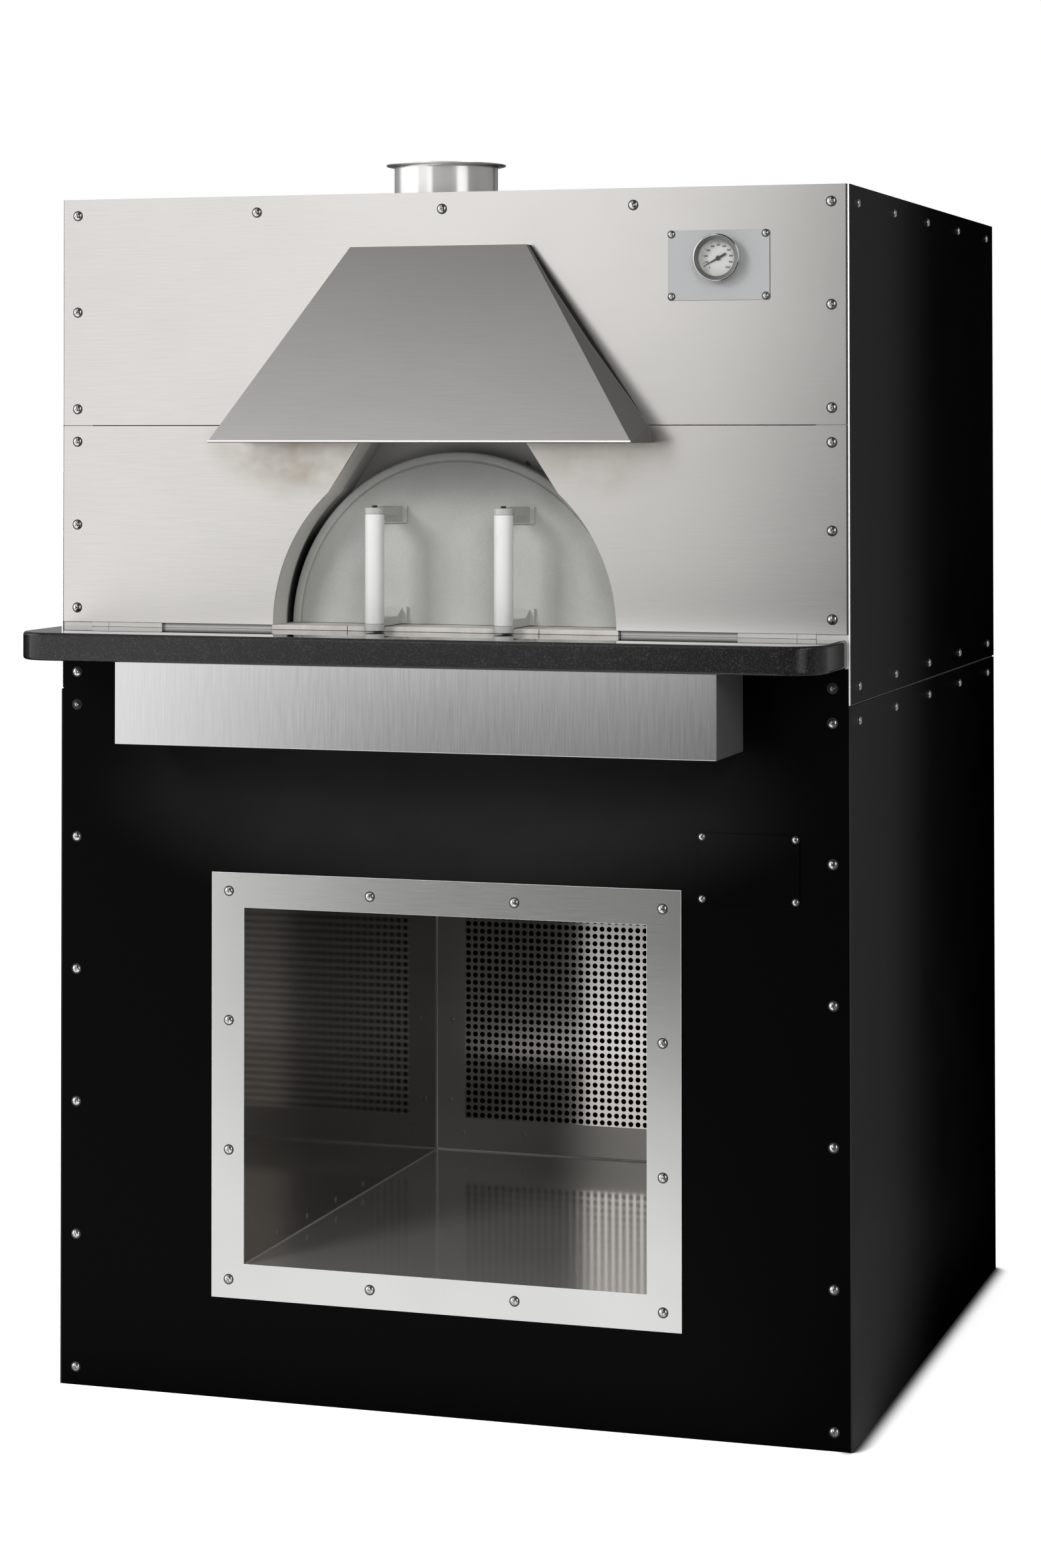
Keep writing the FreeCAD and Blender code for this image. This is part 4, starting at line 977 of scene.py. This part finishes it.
def aimed_points(name, places, ways):
    """A mesh of points, each with the way its screw looks."""
    mesh = bpy.data.meshes.new(name)
    mesh.from_pydata(places, [], [])
    mesh.attributes.new("outward", "FLOAT_VECTOR", "POINT").data.foreach_set(
        "vector", np.array(ways, dtype=np.float32).ravel())
    return mesh


print("tree helpers are ready")

# %% The screw tree
LARGE = dict(Head_Diameter=11.1 * MM, Head_Height=3.2 * MM, Recess_Width=5.4 * MM, Recess_Slot=1.3 * MM,
             Seat_Rim=1.1 * MM)
SMALL = dict(Head_Diameter=8.0 * MM, Head_Height=2.4 * MM, Recess_Width=4.0 * MM, Recess_Slot=1.0 * MM,
             Seat_Rim=0.9 * MM)
screw_tree, given = new_tree("button_head_screws", **LARGE)
gn = partial(add_node, screw_tree)
vector = partial(vector_of, screw_tree)
tall = given["Head Height"]
radius = times(given["Head Diameter"], 0.5)
ball = gn("GeometryNodeMeshUVSphere", Segments=24, Rings=16, Radius=1.0)
dome = gn("GeometryNodeTransform", Geometry=ball, Scale=vector(X=radius, Y=radius, Z=tall))
block = gn("GeometryNodeMeshCube", Size=(0.05, 0.05, 0.02))
block = gn("GeometryNodeTransform", Geometry=block, Translation=(0.0, 0.0, -0.01))
head = gn("GeometryNodeMeshBoolean", operation="DIFFERENCE", Mesh_1=dome, Mesh_2=block)
for quarter in (0.0, math.pi / 2):
    bar = gn("GeometryNodeMeshCube", Size=vector(X=given["Recess Width"], Y=given["Recess Slot"], Z=tall))
    bar = gn("GeometryNodeTransform", Geometry=bar, Translation=vector(Z=times(tall, 0.98)),
             Rotation=(0.0, 0.0, quarter))
    head = gn("GeometryNodeMeshBoolean", operation="DIFFERENCE", Mesh_1=head, Mesh_2=bar)
# A thin dark disc under the head, a painted shadow round its rim.
seat = gn("GeometryNodeMeshCylinder", Vertices=24, Depth=0.8 * MM, Radius=plus(radius, given["Seat Rim"]))
marked = gn("GeometryNodeStoreNamedAttribute", data_type="BOOLEAN", domain="FACE", Geometry=seat, Name="seat",
            Value=True)
outward = gn("GeometryNodeInputNamedAttribute", data_type="FLOAT_VECTOR", Name="outward")
aim = gn("FunctionNodeAlignRotationToVector", axis="Z", Vector=outward)
spin = gn("FunctionNodeRandomValue", data_type="FLOAT", Seed=7)
for index, value in ((2, 0.0), (3, 1.05)):
    plug(spin.inputs[index], value)
own_turn = gn("FunctionNodeAxisAngleToRotation", Axis=(0.0, 0.0, 1.0), Angle=spin.outputs[1])
aimed = gn("FunctionNodeRotateRotation", rotation_space="LOCAL", Rotation=aim, Rotate_By=own_turn)
heads = gn("GeometryNodeInstanceOnPoints", Points=given["Geometry"], Instance=join(screw_tree, marked, head),
           Rotation=aimed)
finish_tree(screw_tree, given, heads)
print("screw tree:", len(screw_tree.nodes), "nodes")

# %% [markdown]
# Each CAD screw is one island of its node's mesh. The island's box gives the place of the head and the way it
# looks. Two screws of the base are darker round a bright centre.


# %% Screws on their seats
def islands(node):
    """Boxes of the separate solids of a node."""
    work = merged(node)
    left, boxes = set(work.verts), []
    while left:
        front, cluster = [left.pop()], []
        while front:
            vert = front.pop()
            cluster.append(vert.co.copy())
            for edge in vert.link_edges:
                other = edge.other_vert(vert)
                if other in left:
                    left.remove(other)
                    front.append(other)
        points = np.array(cluster)
        boxes.append((Vector(points.min(0)), Vector(points.max(0))))
    work.free()
    return sorted(boxes, key=lambda pair: tuple(round(v, 5) for v in pair[0]))


def seats(boxes, head_height):
    """Points under the heads, with the way each head looks."""
    places, ways = [], []
    for low, high in boxes:
        middle = (low + high) / 2
        axis = 1 if high.y - low.y > high.x - low.x else 0
        sign = -1 if middle[axis] < 0 else 1
        way = Vector((0, 0, 0))
        way[axis] = sign
        middle[axis] = low[axis] + head_height if sign < 0 else high[axis] - head_height
        places.append(middle)
        ways.append(way)
    return aimed_points("seats", places, ways)


DARKER_LEFT, DARKER_RIGHT = 0.868, 0.915
for node in ("front_panel_screws", "base_panel_screws", "trim_screws", "side_screws", "rear_screws", "plate_screws"):
    size = SMALL if node == "plate_screws" else LARGE
    found = islands(node)
    piece = grow(node + "_grown", seats(found, size["Head_Height"]), screw_tree, screw_metal, **size)
    piece.data.materials.clear()
    for finish in (screw_metal, screw_dark):
        piece.data.materials.append(finish)
    # Faces of the dark disc take the dark finish, a painted shadow round each head.
    for face, mark in zip(piece.data.polygons, piece.data.attributes["seat"].data):
        face.material_index = int(mark.value)
    smooth(piece.data, 35)
    adopt(piece, node)
    print(node + ":", len(found), "screws,", len(piece.data.polygons), "faces")
for low, high in islands("base_panel_screws"):
    middle = (low + high) / 2
    darker_z = DARKER_LEFT if middle.x < 0 else DARKER_RIGHT
    if abs(middle.x) > 0.45 and abs(middle.z - darker_z) < 8 * MM:
        second_finish("base_panel_screws_grown", screw_dark, lambda mesh, face: 2.4 * MM < math.hypot(
            face.center.x - middle.x, face.center.z - middle.z) < 8 * MM)

# %% [markdown]
# ## Perforated wall of the wood store
# The store's rear wall is a sheet with well over a thousand punched holes that let the air through. One
# square of sheet with one hole is filled from two curves, given its thickness, and repeated on a grid of
# points. The plain border round the holes is four strips made as ordinary bars.

# %% The perforation tree
PITCH = 10.75 * MM
HOLE = 7.7 * MM
COLUMNS, ROWS = 41, 36
FIRST_COLUMN, FIRST_ROW = -217 * MM, 222.7 * MM
wall_low, wall_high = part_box("store_rear_wall")
SHEET = dict(Pitch=PITCH, Hole_Diameter=HOLE, Thickness=wall_high.y - wall_low.y)
holes_tree, given = new_tree("perforated_sheet", **SHEET)
pn = partial(add_node, holes_tree)
square = pn("GeometryNodeCurvePrimitiveQuadrilateral", Width=given["Pitch"], Height=given["Pitch"])
circle = pn("GeometryNodeCurvePrimitiveCircle", Resolution=12, Radius=times(given["Hole Diameter"], 0.5))
filled = pn("GeometryNodeFillCurve", Curve=join(holes_tree, square, circle))
thicken = pn("GeometryNodeExtrudeMesh", mode="FACES", Mesh=filled, Offset_Scale=given["Thickness"], Individual=False)
sheet = join(holes_tree, thicken, pn("GeometryNodeFlipFaces", Mesh=filled))
facing = pn("ShaderNodeSeparateXYZ", Vector=pn("GeometryNodeInputNormal"))
outer_x, outer_y = (calc("GREATER_THAN", calc("ABSOLUTE", facing.outputs[axis]), 0.999) for axis in "XY")
drop = pn("GeometryNodeDeleteGeometry", domain="FACE", Geometry=sheet, Selection=calc("MAXIMUM", outer_x, outer_y))
cells = pn("GeometryNodeInstanceOnPoints", Points=given["Geometry"], Instance=drop, Rotation=(math.pi / 2, 0.0, 0.0))
finish_tree(holes_tree, given, cells)

points = [(FIRST_COLUMN + column * PITCH, wall_high.y, FIRST_ROW + row * PITCH)
          for column in range(COLUMNS) for row in range(ROWS)]
grid = bpy.data.meshes.new("hole_places")
grid.from_pydata(points, [], [])
field = grow("perforated_field", grid, holes_tree, store_field, **SHEET)
print("perforated field:", len(points), "holes,", len(field.data.polygons), "faces")

# %% Border of the perforated wall
field_x0, field_z0 = FIRST_COLUMN - PITCH / 2, FIRST_ROW - PITCH / 2
field_x1, field_z1 = field_x0 + COLUMNS * PITCH, field_z0 + ROWS * PITCH
strips = [(wall_low.x, wall_high.x, wall_low.z, field_z0), (wall_low.x, wall_high.x, field_z1, wall_high.z),
          (wall_low.x, field_x0, field_z0, field_z1), (field_x1, wall_high.x, field_z0, field_z1)]
work = bmesh.new()
work.from_mesh(field.data)
for x0, x1, z0, z1 in strips:
    add_bar(work, (x0, wall_low.y, z0), (x1, wall_high.y, z1))
bpy.data.objects.remove(field)
wall = adopt(show("perforated_wall", mesh_of(work, "perforated_wall"), store_field), "store_rear_wall")
second_finish("perforated_wall", store_border, lambda mesh, face: not (
    field_x0 < face.center.x < field_x1 and field_z0 < face.center.z < field_z1))
print("perforated wall:", len(wall.data.polygons), "faces")

# %% [markdown]
# The store is a box of sheets. Where two of them meet, a bright bead of weld runs along the corner, and low
# rivet heads hold the sheets to the frame behind them. The beads are thin bars with rounded edges; the rivets
# come from the screw tree with a flat head and hardly any recess.

# %% Seams and rivets of the store
BEAD = 1.8 * MM
RIVET = dict(Head_Diameter=8.0 * MM, Head_Height=1.0 * MM, Recess_Width=1.0 * MM, Recess_Slot=0.4 * MM,
             Seat_Rim=0.2 * MM)
deck_z, roof_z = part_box("store_floor")[1].z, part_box("store_ceiling")[0].z
left_x, right_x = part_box("store_left_wall")[1].x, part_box("store_right_wall")[0].x
rear_y, mouth_y = wall_low.y, front_y + 6 * MM
beads = [((left_x, rear_y - BEAD, deck_z), (left_x + BEAD, rear_y, roof_z)),
         ((right_x - BEAD, rear_y - BEAD, deck_z), (right_x, rear_y, roof_z)),
         ((left_x, mouth_y, deck_z), (left_x + BEAD, rear_y, deck_z + BEAD * 0.6)),
         ((right_x - BEAD, mouth_y, deck_z), (right_x, rear_y, deck_z + BEAD * 0.6)),
         ((left_x, rear_y - BEAD, deck_z), (right_x, rear_y, deck_z + BEAD))]
work = bmesh.new()
for ends in beads:
    add_bar(work, *ends)
seams = ease(show("store_seams", mesh_of(work, "store_seams"), bare_frame), 0.4 * MM)
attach(seams, "oven")

rear_places = [(-242, 361), (-244, 243), (-225, 196), (-131, 198)]
side_places = [(685, 373), (706, 253), (113, 185), (224, 184), (332, 183), (439, 182)]
places = [Vector((x * MM, rear_y, z * MM)) for x, z in rear_places]
places += [Vector((left_x, front_y + y * MM, z * MM)) for y, z in side_places]
ways = [(0.0, -1.0, 0.0)] * len(rear_places) + [(1.0, 0.0, 0.0)] * len(side_places)
rivets = grow("store_rivets", aimed_points("rivet_seats", places, ways), screw_tree, store_border, **RIVET)
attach(rivets, "oven")
print("store:", len(beads), "seams and", len(places), "rivets")

# %% [markdown]
# ## The thermometer
# A two-inch dial thermometer: a turned bezel, a flat glass, a printed face and a long needle. The scale's
# ticks are one short bar repeated along an arc by Geometry Nodes; the numerals are text turned into mesh.

# %% Bezel, case and face
BEZEL_WIDTH = 7.0 * MM
BEZEL_RECESS = 27.0 * MM
SPINDLE_HOLE = 1.4 * MM
CASE_WALL = 1.5 * MM
low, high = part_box("thermometer_bezel")
dial_x, dial_z = (low.x + high.x) / 2, (low.z + high.z) / 2
bezel_radius, depth = (high.x - low.x) / 2, high.y - low.y
inner = bezel_radius - BEZEL_WIDTH
profile = [(inner, 1.5 * MM), (BEZEL_RECESS, 1.5 * MM), (BEZEL_RECESS, 0.0), (bezel_radius, 0.0),
           (bezel_radius, depth - 2.2 * MM)]
profile += rounded((bezel_radius - 2.0 * MM, depth - 2.0 * MM), 2.0 * MM, 0)[1:]
profile += [(bezel_radius - 2.8 * MM, depth - 0.3 * MM), (inner + 0.3 * MM, 2.6 * MM)]
bezel = turned(profile, (dial_x, high.y, dial_z), FORWARD, 72)
adopt(show("bezel_turned", bezel, gauge_bright), "thermometer_bezel")
# Inside its outer edge the bezel takes a darker copy of its metal, a painted shade; the outer edge stays bright as a
# painted highlight.
second_finish("bezel_turned", gauge_ring, lambda mesh, face: math.hypot(
    face.center.x - dial_x, face.center.z - dial_z) < bezel_radius - 2.4 * MM)
low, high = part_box("thermometer_case")
outer, depth = (high.x - low.x) / 2, high.y - low.y
profile = [(SPINDLE_HOLE, 0.0), (outer, 0.0), (outer, depth), (outer - CASE_WALL, depth),
           (outer - CASE_WALL, CASE_WALL), (SPINDLE_HOLE, CASE_WALL)]
case = turned(profile, (dial_x, high.y, dial_z), FORWARD, 72)
adopt(show("case_turned", case, gauge_bright), "thermometer_case")
low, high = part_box("thermometer_dial")
face_radius, depth = (high.x - low.x) / 2, high.y - low.y
profile = [(SPINDLE_HOLE, 0.0), (face_radius, 0.0), (face_radius, depth), (SPINDLE_HOLE, depth)]
dial = turned(profile, (dial_x, high.y, dial_z), FORWARD, 72)
adopt(show("dial_face", dial, gauge_face), "thermometer_dial")
dial_place = Matrix.Translation((dial_x, low.y - 0.02 * MM, dial_z))
print("dial centre:", round(dial_x, 4), round(dial_z, 4), "radius", round(face_radius * 1000, 1), "mm")

# %% The tick tree
START, SWEEP = 225.0, 270.0
tick_tree, given = new_tree("dial_ticks", Count=51, Radius=20.0 * MM, Length=1.2 * MM, Width=0.25 * MM,
                            Start_Degrees=START, Sweep_Degrees=SWEEP)
tn = partial(add_node, tick_tree)
row = tn("GeometryNodeMeshLine", Count=given["Count"], Offset=(0.0, 0.0, 0.0))
share = calc("DIVIDE", tn("GeometryNodeInputIndex"), minus(given["Count"], 1.0))
turn = calc("RADIANS", minus(given["Start Degrees"], times(share, given["Sweep Degrees"])))
run, rise = (times(given["Radius"], calc(name, turn)) for name in ("COSINE", "SINE"))
spread = tn("GeometryNodeSetPosition", Geometry=row, Position=vector_of(tick_tree, X=run, Z=rise))
bar = tn("GeometryNodeMeshCube", Size=vector_of(tick_tree, X=given["Length"], Y=0.1 * MM, Z=given["Width"]))
lean = tn("FunctionNodeAxisAngleToRotation", Axis=(0.0, -1.0, 0.0), Angle=turn)
ticks = tn("GeometryNodeInstanceOnPoints", Points=spread, Instance=bar, Rotation=lean)
finish_tree(tick_tree, given, ticks)
scale_work = bmesh.new()
for label, sizes in (("fine_ticks", dict(Count=51, Radius=20.6 * MM, Length=1.3 * MM, Width=0.2 * MM)),
                     ("main_ticks", dict(Count=11, Radius=20.0 * MM, Length=2.6 * MM, Width=0.4 * MM))):
    drawn = grow(label, bpy.data.meshes.new(label), tick_tree, gauge_ink, Start_Degrees=START, Sweep_Degrees=SWEEP,
                 **sizes)
    drawn.data.transform(dial_place)
    scale_work.from_mesh(drawn.data)
    print(label + ":", sizes["Count"])
    bpy.data.objects.remove(drawn)

# %% Numerals
NUMERALS = 11
NUMERAL_RADIUS = 16.0 * MM
NUMERAL_HEIGHT = 3.3 * MM
for step in range(NUMERALS):
    turn = math.radians(START - SWEEP * step / (NUMERALS - 1))
    words = bpy.data.curves.new("numeral", "FONT")
    words.body = str(100 * step)
    words.size = NUMERAL_HEIGHT
    words.align_x = words.align_y = "CENTER"
    words.extrude = 0.04 * MM
    words.resolution_u = 2
    words.offset = 0.13 * MM
    holder = show("numeral", words)
    mesh = evaluated_mesh(holder)
    place = Matrix.Translation((NUMERAL_RADIUS * math.cos(turn), 0.0, NUMERAL_RADIUS * math.sin(turn)))
    for move in (Matrix.Rotation(math.pi / 2, 4, "X"), place, dial_place):
        mesh.transform(move)
    scale_work.from_mesh(mesh)
    bpy.data.objects.remove(holder)
dial_scale = show("dial_scale", mesh_of(scale_work, "dial_scale"), gauge_ink)
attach(dial_scale, "oven")
print("dial scale:", len(dial_scale.data.polygons), "faces")

# %% [markdown]
# ## Finishes for the solids that stay
# Everything that is not replaced keeps its CAD shape and only changes its finish. Most of it is hidden inside
# the cabinet, but the model may be opened up or seen at another pose, so nothing is left bare.

# %% Remaining CAD nodes
plain_finishes = {
    "store_left_wall": store_sheet, "store_right_wall": store_sheet, "store_floor": store_deck,
    "store_ceiling": store_sheet, "smoke_duct": flue_sheet, "hearth_tiles": tile, "dome": tile, "mouth_arch": tile,
    "hearth_insulation": blanket, "dome_blanket": blanket, "base_lower_rails": frame_coat, "base_frame": frame_coat,
    "module_frame": bare_frame, "floor_pan": frame_coat, "mantle_bearer": frame_coat,
    "thermometer_glass": gauge_glass, "thermometer_stem": screw_metal, "thermometer_pointer": gauge_ink,
}
for node, finish in plain_finishes.items():
    nodes[node].data.materials.clear()
    nodes[node].data.materials.append(finish)
print("CAD nodes kept:", len(plain_finishes))
